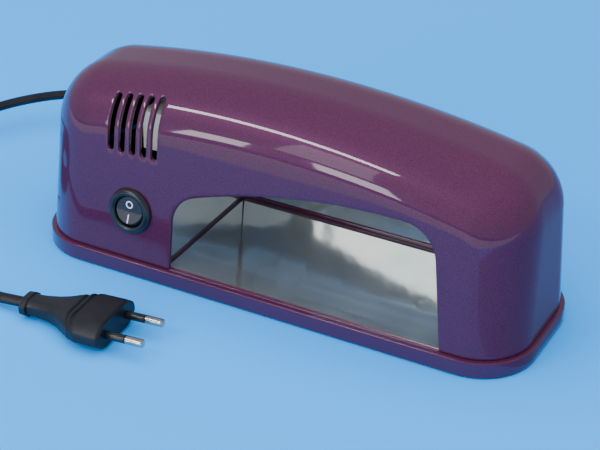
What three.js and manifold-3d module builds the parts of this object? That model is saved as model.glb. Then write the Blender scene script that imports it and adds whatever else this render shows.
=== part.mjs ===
// A 9 W ultraviolet nail lamp: an arched plastic tunnel on a flanged base, with a hand
// opening in the front, a mirror-lined chamber, and a compartment on the left for the
// choke, the terminals and the rocker switch. Millimetres, +Z up, X along the lamp,
// the hand goes in from -Y. The origin is the middle of the footprint, on the table.

import * as THREE from 'three';
import { mergeVertices } from 'three/addons/utils/BufferGeometryUtils.js';
import Module from 'manifold-3d';

const wasm = await Module();
wasm.setup();

// ---- driving dimensions ----

const GAP = 0.3; // air left between neighbours that touch on the real lamp
const BASE_LENGTH = 256;
const BASE_WIDTH = 88;
const BASE_CORNER = 28.2;
const SKIRT_BOTTOM = 0.6;
const DECK_TOP = 8.6;
const DECK_THICKNESS = 2.4;
const SKIRT_THICKNESS = 2.2;
const LIP_TOP = 11.4;
const LIP_THICKNESS = 1.8;
const LEDGE = 2.2; // how far the flange stands proud of the housing

const WALL = 2.2;
const HOUSING_FOOT = DECK_TOP + GAP;
const HOUSING_HALF_LENGTH = BASE_LENGTH / 2 - LEDGE;
const HOUSING_HALF_WIDTH = BASE_WIDTH / 2 - LEDGE;
const SHOULDER = BASE_CORNER - LEDGE; // rounding from the faces into the crown and ends
const FACE_LEAN = THREE.MathUtils.degToRad(6);
const END_LEAN = THREE.MathUtils.degToRad(1.6);
const END_ROUNDING = 29; // seen from the front, between an end and the crown
const CROWN = { x: -5, z: 102.2, radius: 520 };

const OPENING = {
  left: 49.2, right: 91.2, leftLean: 0, rightLean: THREE.MathUtils.degToRad(8.4),
  rounding: 17, crown: { x: 62, z: 66.2, radius: 296 },
};

const SLOT_COUNT = 5;
const SLOT_FIRST_X = -83.8;
const SLOT_PITCH = 5.9;
const SLOT_WIDTH = 3.3;
const SLOT_BOTTOM_Z = 62;
const SLOT_TOP_DROP = 8; // the slots end this far below the crown

const SWITCH_X = -71.5;
const SWITCH_Z = 33.7;
const SWITCH_HOLE_RADIUS = 10.2;
const ROCKER_PIVOT_DEPTH = 3.2; // behind the face of the housing
const ROCKER_THROW = THREE.MathUtils.degToRad(16);

const FLOOR_Z = 9.3; // top of the mirror sheet
const FLOOR_FRONT = 39.2;
const SHEET = 0.4;
const CHAMBER_LEFT = -52.5;
const CHAMBER_RIGHT = 94;
const BULKHEAD_THICKNESS = 1.8;

const TUBE_Z = 66;
const TUBE_RADIUS = 6.1;
const TUBE_SPACING = 14.4;
const TUBE_BASE_LENGTH = 16;

const BOSS_X = 114.5;
const BOSS_Y = 30.5;
const FOOT_X = 92;
const FOOT_Y = 26;
const FOOT_TOP = 1.8;

const GLAND_X = -92;
const GLAND_Z = 18;
const GLAND_HOLE_RADIUS = 4.8;
const SLEEVE_LENGTH = 22;
const CORD_RADIUS = 2.1;

const PLUG = { x: -46.2, y: -92.5, z: 7.75, turn: 2.7, tilt: 2.6, length: 49 };
const PIN_SPACING = 18.6;
const PIN_LENGTH = 19;
const PIN_SLEEVE_LENGTH = 10;
const PIN_RADIUS = 2;

const COIL = { x: -218, y: -38, inner: 23.6, outer: 34.4, bottom: 1.2, top: 11.4 };

// ---- materials ----

const finish = (color, roughness, metalness) =>
  new THREE.MeshStandardMaterial({ color, roughness, metalness });

const finishes = {
  purple: () => finish(0x5b2a55, 0.2, 0.3),
  black: () => finish(0x1b1c20, 0.4, 0),
  rubber: () => finish(0x16171a, 0.7, 0),
  mirror: () => finish(0xc9ced2, 0.1, 1),
  white: () => finish(0xe6e4de, 0.5, 0),
  glass: () => finish(0xeef0ff, 0.15, 0),
  steel: () => finish(0xb9bbbd, 0.35, 1),
  nickel: () => finish(0xcac6bd, 0.25, 1),
  brass: () => finish(0xb98f45, 0.3, 1),
  iron: () => finish(0x4a4c4f, 0.6, 0.7),
  tape: () => finish(0xd0ae3c, 0.45, 0),
  brown: () => finish(0x5a3420, 0.5, 0),
  blue: () => finish(0x2c4c8c, 0.5, 0),
};

const lamp = new THREE.Group();

function add(name, geometry, look, parent = lamp) {
  const mesh = new THREE.Mesh(geometry, finishes[look]());
  mesh.name = name;
  parent.add(mesh);
  return mesh;
}

// ---- solids ----

// A closed geometry as a manifold solid.
function solid(geometry) {
  const bare = geometry.index ? geometry.toNonIndexed() : geometry.clone();
  for (const name of Object.keys(bare.attributes)) {
    if (name !== 'position') bare.deleteAttribute(name);
  }
  const merged = mergeVertices(bare, 1e-4);
  return new wasm.Manifold(new wasm.Mesh({
    numProp: 3,
    vertProperties: new Float32Array(merged.attributes.position.array),
    triVerts: new Uint32Array(merged.index.array),
  }));
}

// A manifold solid as a geometry.
function shape(body) {
  const mesh = body.getMesh();
  const geometry = new THREE.BufferGeometry();
  geometry.setAttribute('position', new THREE.BufferAttribute(mesh.vertProperties, 3));
  geometry.setIndex(new THREE.BufferAttribute(mesh.triVerts, 1));
  geometry.computeVertexNormals();
  return geometry;
}

const cut = (body, ...tools) => tools.reduce((left, tool) => left.subtract(tool), body);
const join = (body, ...others) => others.reduce((sum, other) => sum.add(other), body);

function box(x0, x1, y0, y1, z0, z1) {
  return new THREE.BoxGeometry(x1 - x0, y1 - y0, z1 - z0)
    .translate((x0 + x1) / 2, (y0 + y1) / 2, (z0 + z1) / 2);
}

// An upright cylinder.
function post(x, y, radius, z0, z1, sides = 20) {
  return new THREE.CylinderGeometry(radius, radius, z1 - z0, sides)
    .rotateX(Math.PI / 2).translate(x, y, (z0 + z1) / 2);
}

// A cylinder along X.
function rod(x0, x1, y, z, radius, sides = 16) {
  return new THREE.CylinderGeometry(radius, radius, x1 - x0, sides)
    .rotateZ(Math.PI / 2).translate((x0 + x1) / 2, y, z);
}

// Skins a row of rings that all have the same number of points, and closes both ends.
function loft(rings) {
  const size = rings[0].length;
  const points = rings.flat();
  const middle = (ring) => ring
    .reduce((sum, p) => sum.add(p), new THREE.Vector3()).divideScalar(size);
  points.push(middle(rings[0]), middle(rings.at(-1)));
  const faces = [];
  for (let row = 0; row + 1 < rings.length; row++) {
    for (let i = 0; i < size; i++) {
      const next = (i + 1) % size;
      const [a, b] = [row * size + i, row * size + next];
      faces.push(a, b, b + size, a, b + size, a + size);
    }
  }
  const last = (rings.length - 1) * size;
  for (let i = 0; i < size; i++) {
    const next = (i + 1) % size;
    faces.push(next, i, points.length - 2, last + i, last + next, points.length - 1);
  }
  const geometry = new THREE.BufferGeometry().setFromPoints(points);
  geometry.setIndex(faces);
  if (enclosed(geometry) < 0) geometry.setIndex(faces.reverse());
  geometry.computeVertexNormals();
  return geometry;
}

// The signed volume inside a closed geometry: negative when its faces point inwards.
function enclosed(geometry) {
  const p = geometry.attributes.position;
  const at = (i) => new THREE.Vector3().fromBufferAttribute(p, geometry.index.getX(i));
  let sum = 0;
  for (let i = 0; i < geometry.index.count; i += 3) {
    sum += at(i).dot(at(i + 1).cross(at(i + 2)));
  }
  return sum / 6;
}

// ---- outlines ----

// Half of an arch, from its foot up a leaning side, round the corner and up to the crown.
// The corner circle touches the side line and the crown circle from inside both.
function archHalf(foot, lean, rounding, crown, footZ, inset, finesse) {
  const centreZ = crown.z - crown.radius;
  const tangent = Math.tan(lean);
  const cornerX = (z) => foot - tangent * (z - HOUSING_FOOT) - rounding / Math.cos(lean);
  let [low, high] = [-crown.radius, crown.z];
  for (let i = 0; i < 60; i++) {
    const z = (low + high) / 2;
    const away = Math.hypot(cornerX(z) - crown.x, z - centreZ);
    if (away > crown.radius - rounding) high = z;
    else low = z;
  }
  const corner = new THREE.Vector2(cornerX(low), low);
  const meet = Math.atan2(corner.y - centreZ, corner.x - crown.x);
  const points = [new THREE.Vector2(
    foot - tangent * (footZ - HOUSING_FOOT) - inset / Math.cos(lean), footZ)];
  for (let i = 0; i <= finesse; i++) {
    const angle = lean + (meet - lean) * i / finesse;
    points.push(new THREE.Vector2(Math.cos(angle), Math.sin(angle))
      .multiplyScalar(rounding - inset).add(corner));
  }
  for (let i = 1; i <= finesse; i++) {
    const angle = meet + (Math.PI / 2 - meet) * i / finesse;
    points.push(new THREE.Vector2(Math.cos(angle), Math.sin(angle))
      .multiplyScalar(crown.radius - inset).add(new THREE.Vector2(crown.x, centreZ)));
  }
  return points;
}

// A whole arch, counter-clockwise from the right foot to the left foot, seen from -Y.
function arch(spec, footZ, inset, finesse) {
  const right = archHalf(
    spec.right, spec.rightLean, spec.rounding, spec.crown, footZ, inset, finesse);
  const mirrored = { ...spec.crown, x: -spec.crown.x };
  const left = archHalf(
    spec.left, spec.leftLean, spec.rounding, mirrored, footZ, inset, finesse);
  const back = left.slice(0, -1).reverse().map((p) => new THREE.Vector2(-p.x, p.y));
  return right.concat(back);
}

const housingArch = (shrink) => ({
  left: HOUSING_HALF_LENGTH - shrink, right: HOUSING_HALF_LENGTH - shrink,
  leftLean: END_LEAN, rightLean: END_LEAN, rounding: END_ROUNDING - shrink,
  crown: { x: CROWN.x, z: CROWN.z - shrink, radius: CROWN.radius - shrink },
});

const lean = (z) => Math.tan(FACE_LEAN) * (z - HOUSING_FOOT);
const frontFace = (z) => -(HOUSING_HALF_WIDTH - lean(z));
const crownAt = (x) => CROWN.z - CROWN.radius + Math.sqrt(CROWN.radius ** 2 - (x - CROWN.x) ** 2);

// The housing's body as a stack of arches along Y: each is inset as the shoulder rounds.
function housingBody(shrink, footZ, rows, finesse) {
  const spec = housingArch(shrink);
  const radius = SHOULDER - shrink;
  const depth = HOUSING_HALF_WIDTH - shrink - radius;
  const station = (side, angle) => {
    const out = depth + radius * Math.sin(angle);
    return arch(spec, footZ, radius * (1 - Math.cos(angle)), finesse)
      .map((p) => new THREE.Vector3(p.x, side * (out - lean(p.y)), p.y));
  };
  const angles = Array.from({ length: rows + 1 }, (_, i) => (Math.PI / 2) * i / rows);
  const front = angles.map((angle) => station(-1, angle)).reverse();
  return loft(front.concat(angles.map((angle) => station(1, angle))));
}

// The inside of the housing cut across at x, less a clearance: points (y, z) of a plate.
function crossSection(x, clearance, footZ, footHalfWidth) {
  const shrink = WALL + clearance;
  const radius = SHOULDER - shrink;
  const depth = HOUSING_HALF_WIDTH - shrink - radius;
  const top = crownAt(x) - shrink;
  const half = [new THREE.Vector2(footHalfWidth, footZ)];
  for (let i = 0; i <= 8; i++) {
    const angle = Math.PI / 2 * (1 - i / 8);
    const z = top - radius * (1 - Math.cos(angle));
    half.push(new THREE.Vector2(depth + radius * Math.sin(angle) - lean(z), z));
  }
  return half.concat(half.map((p) => new THREE.Vector2(-p.x, p.y)).reverse());
}

// A flat outline of (y, z) points given a thickness along X.
function plateAlongX(points, x0, x1) {
  return new THREE.ExtrudeGeometry(new THREE.Shape(points), { depth: x1 - x0, bevelEnabled: false })
    .rotateX(Math.PI / 2).rotateZ(Math.PI / 2).translate(x0, 0, 0);
}

function roundedRectangle(halfLength, halfWidth, corner, segments = 10) {
  const outline = new THREE.Shape();
  const quarter = Math.PI / 2;
  const [cx, cy] = [halfLength - corner, halfWidth - corner];
  [[cx, cy, 0], [-cx, cy, 1], [-cx, -cy, 2], [cx, -cy, 3]].forEach(([x, y, turn]) => {
    for (let i = 0; i <= segments; i++) {
      const angle = quarter * (turn + i / segments);
      const point = [x + corner * Math.cos(angle), y + corner * Math.sin(angle)];
      if (turn + i === 0) outline.moveTo(...point);
      else outline.lineTo(...point);
    }
  });
  return outline;
}

// A slab with the base's outline, drawn in by inset.
function footprint(inset, z0, z1) {
  const outline = roundedRectangle(
    BASE_LENGTH / 2 - inset, BASE_WIDTH / 2 - inset, BASE_CORNER - inset);
  return new THREE.ExtrudeGeometry(outline, { depth: z1 - z0, bevelEnabled: false })
    .translate(0, 0, z0);
}

// A tube along a smooth curve through the points.
function tube(points, radius, steps, sides = 8) {
  const path = new THREE.CatmullRomCurve3(points.map((p) => new THREE.Vector3(...p)));
  const section = new THREE.Shape(Array.from({ length: sides }, (_, i) => {
    const angle = 2 * Math.PI * i / sides;
    return new THREE.Vector2(radius * Math.cos(angle), radius * Math.sin(angle));
  }));
  return new THREE.ExtrudeGeometry(section, { steps, extrudePath: path, bevelEnabled: false });
}

const corners = [[-1, -1], [1, -1], [1, 1], [-1, 1]];
const cornerNames = ['front_left', 'front_right', 'rear_right', 'rear_left'];

// ---- housing shell ----

function slotCutter(index) {
  const x = SLOT_FIRST_X + index * SLOT_PITCH;
  const topZ = crownAt(x) - SLOT_TOP_DROP;
  const angle = Math.acos(1 - SLOT_TOP_DROP / SHOULDER);
  const depth = HOUSING_HALF_WIDTH - SHOULDER;
  const bottom = new THREE.Vector3(x, frontFace(SLOT_BOTTOM_Z), SLOT_BOTTOM_Z);
  const top = new THREE.Vector3(x, -(depth + SHOULDER * Math.sin(angle) - lean(topZ)), topZ);
  const along = top.clone().sub(bottom);
  const reach = along.length() / 2 - SLOT_WIDTH / 2;
  const radius = SLOT_WIDTH / 2;
  const outline = new THREE.Shape();
  outline.absarc(0, reach, radius, 0, Math.PI);
  outline.absarc(0, -reach, radius, Math.PI, 2 * Math.PI);
  const across = new THREE.Vector3(1, 0, 0);
  along.normalize();
  const place = new THREE.Matrix4().makeBasis(across, along, across.clone().cross(along));
  place.setPosition(bottom.add(top).multiplyScalar(0.5));
  return new THREE.ExtrudeGeometry(outline, { depth: 13, bevelEnabled: false, curveSegments: 6 })
    .translate(0, 0, -5).applyMatrix4(place);
}

function housingShell() {
  const outer = solid(housingBody(0, HOUSING_FOOT, 9, 9));
  const inner = solid(housingBody(WALL, HOUSING_FOOT - 1, 8, 8));
  const bosses = corners.map(([sx, sy]) =>
    solid(post(sx * BOSS_X, sy * BOSS_Y, 4, HOUSING_FOOT, 26)).intersect(outer));
  const pilots = corners.map(([sx, sy]) =>
    solid(post(sx * BOSS_X, sy * BOSS_Y, 1.75, 0, 23, 12)));
  const opening = new THREE.Shape(arch(OPENING, HOUSING_FOOT - 2, 0, 7));
  const openingCutter = new THREE.ExtrudeGeometry(opening, { depth: 60, bevelEnabled: false })
    .rotateX(Math.PI / 2);
  const slots = Array.from({ length: SLOT_COUNT }, (_, i) => solid(slotCutter(i)));
  const switchHole = new THREE.CylinderGeometry(
    SWITCH_HOLE_RADIUS, SWITCH_HOLE_RADIUS, 12, 28)
    .rotateX(-FACE_LEAN).translate(SWITCH_X, frontFace(SWITCH_Z), SWITCH_Z);
  const glandHole = new THREE.CylinderGeometry(GLAND_HOLE_RADIUS, GLAND_HOLE_RADIUS, 12, 20)
    .translate(GLAND_X, -frontFace(GLAND_Z), GLAND_Z);
  const shell = join(cut(outer, inner), ...bosses);
  return cut(shell, ...pilots, ...slots, solid(openingCutter), solid(switchHole), solid(glandHole));
}

add('housing_shell', shape(housingShell()), 'purple');

// ---- base plate, feet and screws ----

function basePlate() {
  const lipInset = LEDGE + WALL + GAP + 0.35;
  const skirt = cut(
    solid(footprint(0, SKIRT_BOTTOM, DECK_TOP)),
    solid(footprint(SKIRT_THICKNESS, -1, DECK_TOP - DECK_THICKNESS)));
  const lip = cut(
    solid(footprint(lipInset, DECK_TOP - 1, LIP_TOP)),
    solid(footprint(lipInset + LIP_THICKNESS, DECK_TOP - 2, LIP_TOP + 1)),
    solid(box(CHAMBER_LEFT - 1, CHAMBER_RIGHT + 1, -BASE_WIDTH, 0, DECK_TOP, LIP_TOP + 1)));
  const reliefs = corners.map(([sx, sy]) =>
    solid(post(sx * BOSS_X, sy * BOSS_Y, 4.4, DECK_TOP, LIP_TOP + 1)));
  const pads = corners.map(([sx, sy]) =>
    solid(post(sx * FOOT_X, sy * FOOT_Y, 7.5, FOOT_TOP + GAP, DECK_TOP - 1, 24)));
  const holes = corners.map(([sx, sy]) =>
    solid(post(sx * BOSS_X, sy * BOSS_Y, 1.8, 0, DECK_TOP + 2, 12)));
  return cut(join(skirt, lip, ...pads), ...reliefs, ...holes);
}

add('base_plate', shape(basePlate()), 'purple');

corners.forEach(([sx, sy], i) => {
  add(`foot_${cornerNames[i]}`, post(sx * FOOT_X, sy * FOOT_Y, 6.5, 0, FOOT_TOP, 20), 'rubber');
});

function housingScrew() {
  const head = DECK_TOP - DECK_THICKNESS - GAP;
  const profile = [
    [0, head - 2.1], [2, head - 2.1], [2.9, head - 1.3], [2.9, head], [1.4, head],
    [1.4, 20], [0.5, 21.5], [0, 21.5],
  ].map(([r, z]) => new THREE.Vector2(r, z));
  return new THREE.LatheGeometry(profile, 14).rotateX(Math.PI / 2);
}

corners.forEach(([sx, sy], i) => {
  const screw = add(`screw_${cornerNames[i]}`, housingScrew(), 'steel');
  screw.position.set(sx * BOSS_X, sy * BOSS_Y, 0);
});

// ---- mirrored chamber ----

const chamberHalfWidth = BASE_WIDTH / 2 - (LEDGE + WALL + GAP + 0.35) - LIP_THICKNESS - GAP;
const plateFoot = DECK_TOP + GAP;

add('floor_mirror', box(CHAMBER_LEFT + GAP, CHAMBER_RIGHT - GAP, -FLOOR_FRONT, chamberHalfWidth,
  FLOOR_Z - SHEET, FLOOR_Z), 'mirror');

function sidePlate(x0, x1, clearance) {
  const points = crossSection((x0 + x1) / 2, clearance, plateFoot, chamberHalfWidth);
  return solid(plateAlongX(points, x0, x1));
}

const tubeWindow = () => solid(box(-70, -40, -14, 14, TUBE_Z - 7, TUBE_Z + 7));
const filmLeft = CHAMBER_LEFT - SHEET;
const filmRight = CHAMBER_RIGHT + SHEET;
add('left_bulkhead', shape(cut(
  sidePlate(filmLeft - GAP - BULKHEAD_THICKNESS, filmLeft - GAP, 0.6), tubeWindow())), 'white');
add('left_mirror', shape(cut(sidePlate(filmLeft, CHAMBER_LEFT, 1.2), tubeWindow())), 'mirror');
add('right_bulkhead', shape(
  sidePlate(filmRight + GAP, filmRight + GAP + BULKHEAD_THICKNESS, 0.9)), 'white');
add('right_mirror', shape(sidePlate(CHAMBER_RIGHT, filmRight, 1.5)), 'mirror');

// The reflector: one bent sheet that rises behind the chamber and turns over above it.
function reflector() {
  const [foot, crown, bend] = [LIP_TOP + GAP, 80, 22];
  const back = (z) => chamberHalfWidth + 1.2 - (z - foot) * Math.tan(FACE_LEAN);
  const path = [[back(foot), foot], [back(35), 35]];
  const [cy, cz] = [back(crown - bend) - bend, crown - bend];
  for (let i = 0; i <= 6; i++) {
    const angle = Math.PI / 2 * i / 6;
    path.push([cy + bend * Math.cos(angle), cz + bend * Math.sin(angle)]);
  }
  for (let i = 0; i <= 4; i++) {
    const angle = Math.PI / 2 * (1 + 0.62 * i / 4);
    path.push([-cy + bend * Math.cos(angle), cz + bend * Math.sin(angle)]);
  }
  const middle = new THREE.Vector2(0, crown / 2);
  const line = path.map(([y, z]) => new THREE.Vector2(y, z));
  const thicker = line.map((p) => p.clone().add(middle.clone().sub(p).setLength(SHEET + 0.1)));
  return plateAlongX(line.concat(thicker.reverse()), CHAMBER_LEFT + GAP, CHAMBER_RIGHT - GAP);
}

add('reflector', reflector(), 'mirror');

// ---- ultraviolet tube, its base, holder and clip ----

const tubeBaseEnd = CHAMBER_LEFT + 0.6 + TUBE_BASE_LENGTH;
const tubeTip = CHAMBER_RIGHT - 3.5;

function glassTube() {
  const legs = [-1, 1].map((side) => {
    const length = tubeTip - tubeBaseEnd - GAP;
    const profile = [new THREE.Vector2(0, 0), new THREE.Vector2(TUBE_RADIUS, 0)];
    for (let i = 0; i <= 4; i++) {
      const angle = Math.PI / 2 * i / 4;
      const y = length - TUBE_RADIUS * (1 - Math.sin(angle));
      profile.push(new THREE.Vector2(TUBE_RADIUS * Math.cos(angle), y));
    }
    return solid(new THREE.LatheGeometry(profile, 16).rotateZ(-Math.PI / 2)
      .translate(tubeBaseEnd + GAP, side * TUBE_SPACING / 2, TUBE_Z));
  });
  const bridge = new THREE.CylinderGeometry(3, 3, TUBE_SPACING - 4, 12)
    .translate(tubeTip - 9, 0, TUBE_Z);
  return join(legs[0], legs[1], solid(bridge));
}

add('uv_tube', shape(glassTube()), 'glass');

const tongueEnd = CHAMBER_LEFT - 20;
add('tube_base', shape(join(
  solid(box(CHAMBER_LEFT + 0.6, tubeBaseEnd, -15.5, 15.5, TUBE_Z - 7.8, TUBE_Z + 7.8)),
  solid(box(tongueEnd, CHAMBER_LEFT + 1, -7, 7, TUBE_Z - 4.5, TUBE_Z + 4.5)))), 'white');

[-1, 1].forEach((side) => {
  add(side < 0 ? 'tube_pin_front' : 'tube_pin_rear',
    rod(CHAMBER_LEFT - 11, CHAMBER_LEFT + GAP, side * 11.5, TUBE_Z, 1.2, 12), 'brass');
});

const holderRight = filmLeft - GAP - BULKHEAD_THICKNESS - GAP;
add('lamp_holder', shape(cut(
  solid(box(holderRight - 22, holderRight, -17, 17, TUBE_Z - 10, TUBE_Z + 10)),
  solid(box(holderRight - 20, holderRight + 1, -7.6, 7.6, TUBE_Z - 5.1, TUBE_Z + 5.1)),
  solid(rod(holderRight - 11, holderRight + 1, 11.5, TUBE_Z, 1.7, 12)),
  solid(rod(holderRight - 11, holderRight + 1, -11.5, TUBE_Z, 1.7, 12)))), 'white');

function tubeClip() {
  const [reach, drop, rise] = [TUBE_SPACING / 2 + TUBE_RADIUS + 0.4, 4, TUBE_RADIUS + 0.5];
  const outer = [[reach + 0.8, -drop], [reach + 0.8, rise + 0.8], [-reach - 0.8, rise + 0.8],
    [-reach - 0.8, -drop], [-reach, -drop], [-reach, rise], [reach, rise], [reach, -drop]];
  const points = outer.map(([y, z]) => new THREE.Vector2(y, z + TUBE_Z));
  return plateAlongX(points, tubeTip - 28, tubeTip - 20);
}

add('tube_clip', tubeClip(), 'steel');

// ---- rocker switch ----

const switchUnit = new THREE.Group();
switchUnit.position.set(SWITCH_X, frontFace(SWITCH_Z), SWITCH_Z);
switchUnit.rotation.x = -FACE_LEAN;
lamp.add(switchUnit);

// The bezel and barrel, turned about Y: the bezel is a low dome round the rocker's well.
function switchBody() {
  const profile = [
    [0, 14], [9.8, 14], [9.8, -GAP], [11.5, -GAP], [11.5, -0.9], [11.1, -1.7], [10.3, -2.3],
    [9.3, -2.6], [8.4, -2.4], [7.8, -1.9], [7.8, -0.9], [8.9, 0.4], [8.9, 12.6], [0, 12.6],
  ].map(([r, y]) => new THREE.Vector2(r, y)).reverse();
  return new THREE.LatheGeometry(profile, 28);
}

// The rocker: a button whose front is two flats that meet in a shallow valley. Its flanks
// are part of a sphere about the pivot, so it turns inside the round bezel.
function rocker() {
  const [swing, face, tail] = [8.5, -4.5, 5];
  const drop = Math.tan(ROCKER_THROW) * 10;
  const front = [[tail, 10], [face, 10], [face, 0], [face - drop, -10], [tail, -10]];
  const block = plateAlongX(front.map(([y, z]) => new THREE.Vector2(y, z)), -10, 10);
  const ball = new THREE.SphereGeometry(swing, 32, 20);
  const axle = rod(-8.5, 8.5, 0, 0, 1.3, 12);
  return join(solid(block).intersect(solid(ball)), solid(axle));
}

add('switch_body', switchBody(), 'black', switchUnit);
add('switch_rocker', shape(rocker()), 'black', switchUnit)
  .position.set(0, ROCKER_PIVOT_DEPTH, 0);
[-1, 1].forEach((side) => {
  add(side < 0 ? 'switch_tab_lower' : 'switch_tab_upper',
    box(-2.4, 2.4, 14 + GAP, 21, side * 5 - 0.4, side * 5 + 0.4), 'brass', switchUnit);
});

// ---- choke, terminal block and wires ----

const choke = { x0: -108, x1: -64, y0: -10, y1: 20, z0: plateFoot + 1.5, z1: 38 };
const limb = { x0: -91, x1: -81 };
const windowZ = [choke.z0 + 5, choke.z1 - 5];

add('choke_bracket', shape(cut(
  solid(box(choke.x0 - 1, choke.x1 + 1, choke.y0 - 10, choke.y1 + 8, plateFoot, plateFoot + 1.2)),
  solid(post(-72, choke.y0 - 6, 1.8, 0, 20, 12)),
  solid(post(-72, choke.y1 + 4, 1.8, 0, 20, 12)))), 'steel');

add('choke_core', shape(cut(
  solid(box(choke.x0, choke.x1, choke.y0, choke.y1, choke.z0, choke.z1)),
  solid(box(choke.x0 + 5, limb.x0, choke.y0 - 1, choke.y1 + 1, ...windowZ)),
  solid(box(limb.x1, choke.x1 - 5, choke.y0 - 1, choke.y1 + 1, ...windowZ)))), 'iron');

const winding = { x0: choke.x0 + 5.3, x1: choke.x1 - 5.3, y0: choke.y0 - 5, y1: choke.y1 + 5 };
add('choke_winding', shape(cut(
  solid(box(winding.x0, winding.x1, winding.y0, winding.y1, windowZ[0] + GAP, windowZ[1] - GAP)),
  solid(box(limb.x0 - GAP, limb.x1 + GAP, choke.y0 - GAP, choke.y1 + GAP, 0, 60)))), 'tape');

const terminal = { x0: -121, x1: -112, y0: -12, y1: 12, z1: 20 };
add('terminal_block', shape(cut(
  solid(box(terminal.x0, terminal.x1, terminal.y0, terminal.y1, plateFoot, terminal.z1)),
  ...[-7, 0, 7].map((y) => solid(post(-116.5, y, 1.8, 15, 30, 12))))), 'white');

const wires = {
  wire_terminal_to_switch: ['brown', [[-116.5, -12.6, 14], [-114, -18, 17], [-98, -20, 30],
    [-80, -18, 41], [-73, -14.5, 42.5], [-71.5, -15.8, 37.2]]],
  wire_switch_to_choke: ['brown', [[-71.5, -17.4, 26.4], [-69, -17.7, 25.6], [-66.8, -15.6, 24.6],
    [-67.4, -13.2, 24], [-68.9, -12.8, 24]]],
  wire_choke_to_holder: ['brown', [[-66, 5, 38.6], [-66, 5, 44], [-68, 5, 50], [-68, 5, 55.4]]],
  wire_holder_to_terminal: ['blue', [[-79, -6, 62], [-88, -7, 60], [-108, -5, 45],
    [-115, -3.5, 30], [-116.5, -3.5, 20.6]]],
};
for (const [name, [look, points]] of Object.entries(wires)) add(name, tube(points, 1, 14), look);

// ---- cord bushing, cord, coil and tie ----

const glandOut = -frontFace(GLAND_Z) + 0.65; // clear of the leaning wall at the flange's rim
const glandIn = -frontFace(GLAND_Z) - WALL - 0.65;
const sleeveTip = glandOut + GAP + SLEEVE_LENGTH;
const bushingHead = glandIn - GAP - 3;

// The bushing, turned about Y: inner head, neck in the wall, outer flange, tapered sleeve.
function cordBushing() {
  const [inside, outside] = [glandIn - GAP, glandOut + GAP];
  const profile = [
    [0, bushingHead], [6, bushingHead], [6, inside], [4.4, inside], [4.4, outside], [6.5, outside],
    [6.5, outside + 1.6], [4.6, outside + 3], [3.1, sleeveTip], [0, sleeveTip],
  ].map(([r, y]) => new THREE.Vector2(r, y));
  return new THREE.LatheGeometry(profile, 20);
}

add('cord_bushing', cordBushing(), 'rubber').position.set(GLAND_X, 0, GLAND_Z);

add('cord_tail', tube([[GLAND_X, bushingHead - GAP, GLAND_Z], [-92.2, bushingHead - 1.6, 18],
  [-95.5, 29.4, 17.5], [-103, 27.6, 16.8], [-109, 24.9, 16], [-115, 18.5, 14.5],
  [-116.5, 12.6, 14]], CORD_RADIUS, 16), 'black');

// The free cord, from the sleeve round behind the left end to the coil.
const rearRoute = [
  [GLAND_X, sleeveTip + GAP, GLAND_Z], [-92.5, 72, 18], [-96, 84, 18.1], [-105, 94, 18.3],
  [-119, 99.5, 18.6], [-135, 99.5, 18.7], [-152, 94, 18.8], [-168, 86.4, 18.6],
  [-184, 76.2, 18.2], [-196, 67, 17.5], [-207.5, 54.5, 16.3], [-219, 37, 14.6], [-232, 18, 12.8],
  [-243, 1, 11], [-250.5, -14.5, 9.8], [-253.2, -24, 9.2],
];
add('cord_rear', tube(rearRoute, CORD_RADIUS, 30, 10), 'black');

// One plain ring stands for the wound turns.
function coilRing() {
  const profile = [
    [COIL.inner, COIL.bottom], [COIL.outer, COIL.bottom], [COIL.outer, COIL.top],
    [COIL.inner, COIL.top], [COIL.inner, COIL.bottom],
  ].map(([r, z]) => new THREE.Vector2(r, z));
  return new THREE.LatheGeometry(profile, 32).rotateX(Math.PI / 2);
}

add('cord_coil', coilRing(), 'black').position.set(COIL.x, COIL.y, 0);

// The tie: a flat band looped round the bundle on the side away from the lamp.
function cordTie() {
  const half = 3;
  const [inner, outer] = [Math.sqrt(COIL.inner ** 2 - half ** 2) - GAP, COIL.outer + GAP];
  const loop = (grow, y0, y1) => solid(box(inner - grow, outer + grow, y0, y1,
    COIL.bottom - GAP - grow, COIL.top + GAP + grow));
  return cut(loop(0.8, -half, half), loop(0, -half - 1, half + 1)).rotate([0, 0, 125]);
}

add('cord_tie', shape(cordTie()), 'black').position.set(COIL.x, COIL.y, 0);

// ---- plug ----

const plug = new THREE.Group();
plug.position.set(PLUG.x, PLUG.y, PLUG.z);
plug.rotation.set(0, -THREE.MathUtils.degToRad(PLUG.tilt), THREE.MathUtils.degToRad(PLUG.turn), 'ZYX');
lamp.add(plug);

// The moulded body, lofted along X from the tail collar to the flat face at the pins.
// Each station gives a distance behind the face, a width, a height and a corner cut.
function plugBody() {
  const stations = [
    [PLUG.length, 8.5, 6.6, 2.4], [PLUG.length - 1.2, 14, 9, 3], [PLUG.length - 4, 15, 9.6, 3],
    [PLUG.length - 6.5, 12, 8.6, 2.4], [38, 11.4, 9, 2.2], [32, 12.6, 10, 2.2],
    [27, 17, 11.6, 3], [22, 24.5, 13, 3.6], [17.5, 31, 13.6, 4], [13, 34.6, 13.7, 4.4],
    [1.2, 35.3, 13.7, 4.6], [0, 34.2, 12.6, 4.4],
  ];
  return loft(stations.map(([back, width, height, corner]) => {
    const [w, h] = [width / 2, height / 2];
    return [[w, h - corner], [w - corner * 1.3, h], [0, h], [-w + corner * 1.3, h],
      [-w, h - corner], [-w, -h + corner], [-w + corner * 1.3, -h], [0, -h],
      [w - corner * 1.3, -h], [w, -h + corner]].map(([y, z]) => new THREE.Vector3(-back, y, z));
  }));
}

function turnedAlongX(profile, sides) {
  const points = profile.map(([r, x]) => new THREE.Vector2(r, x));
  return new THREE.LatheGeometry(points, sides).rotateZ(-Math.PI / 2);
}

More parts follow.
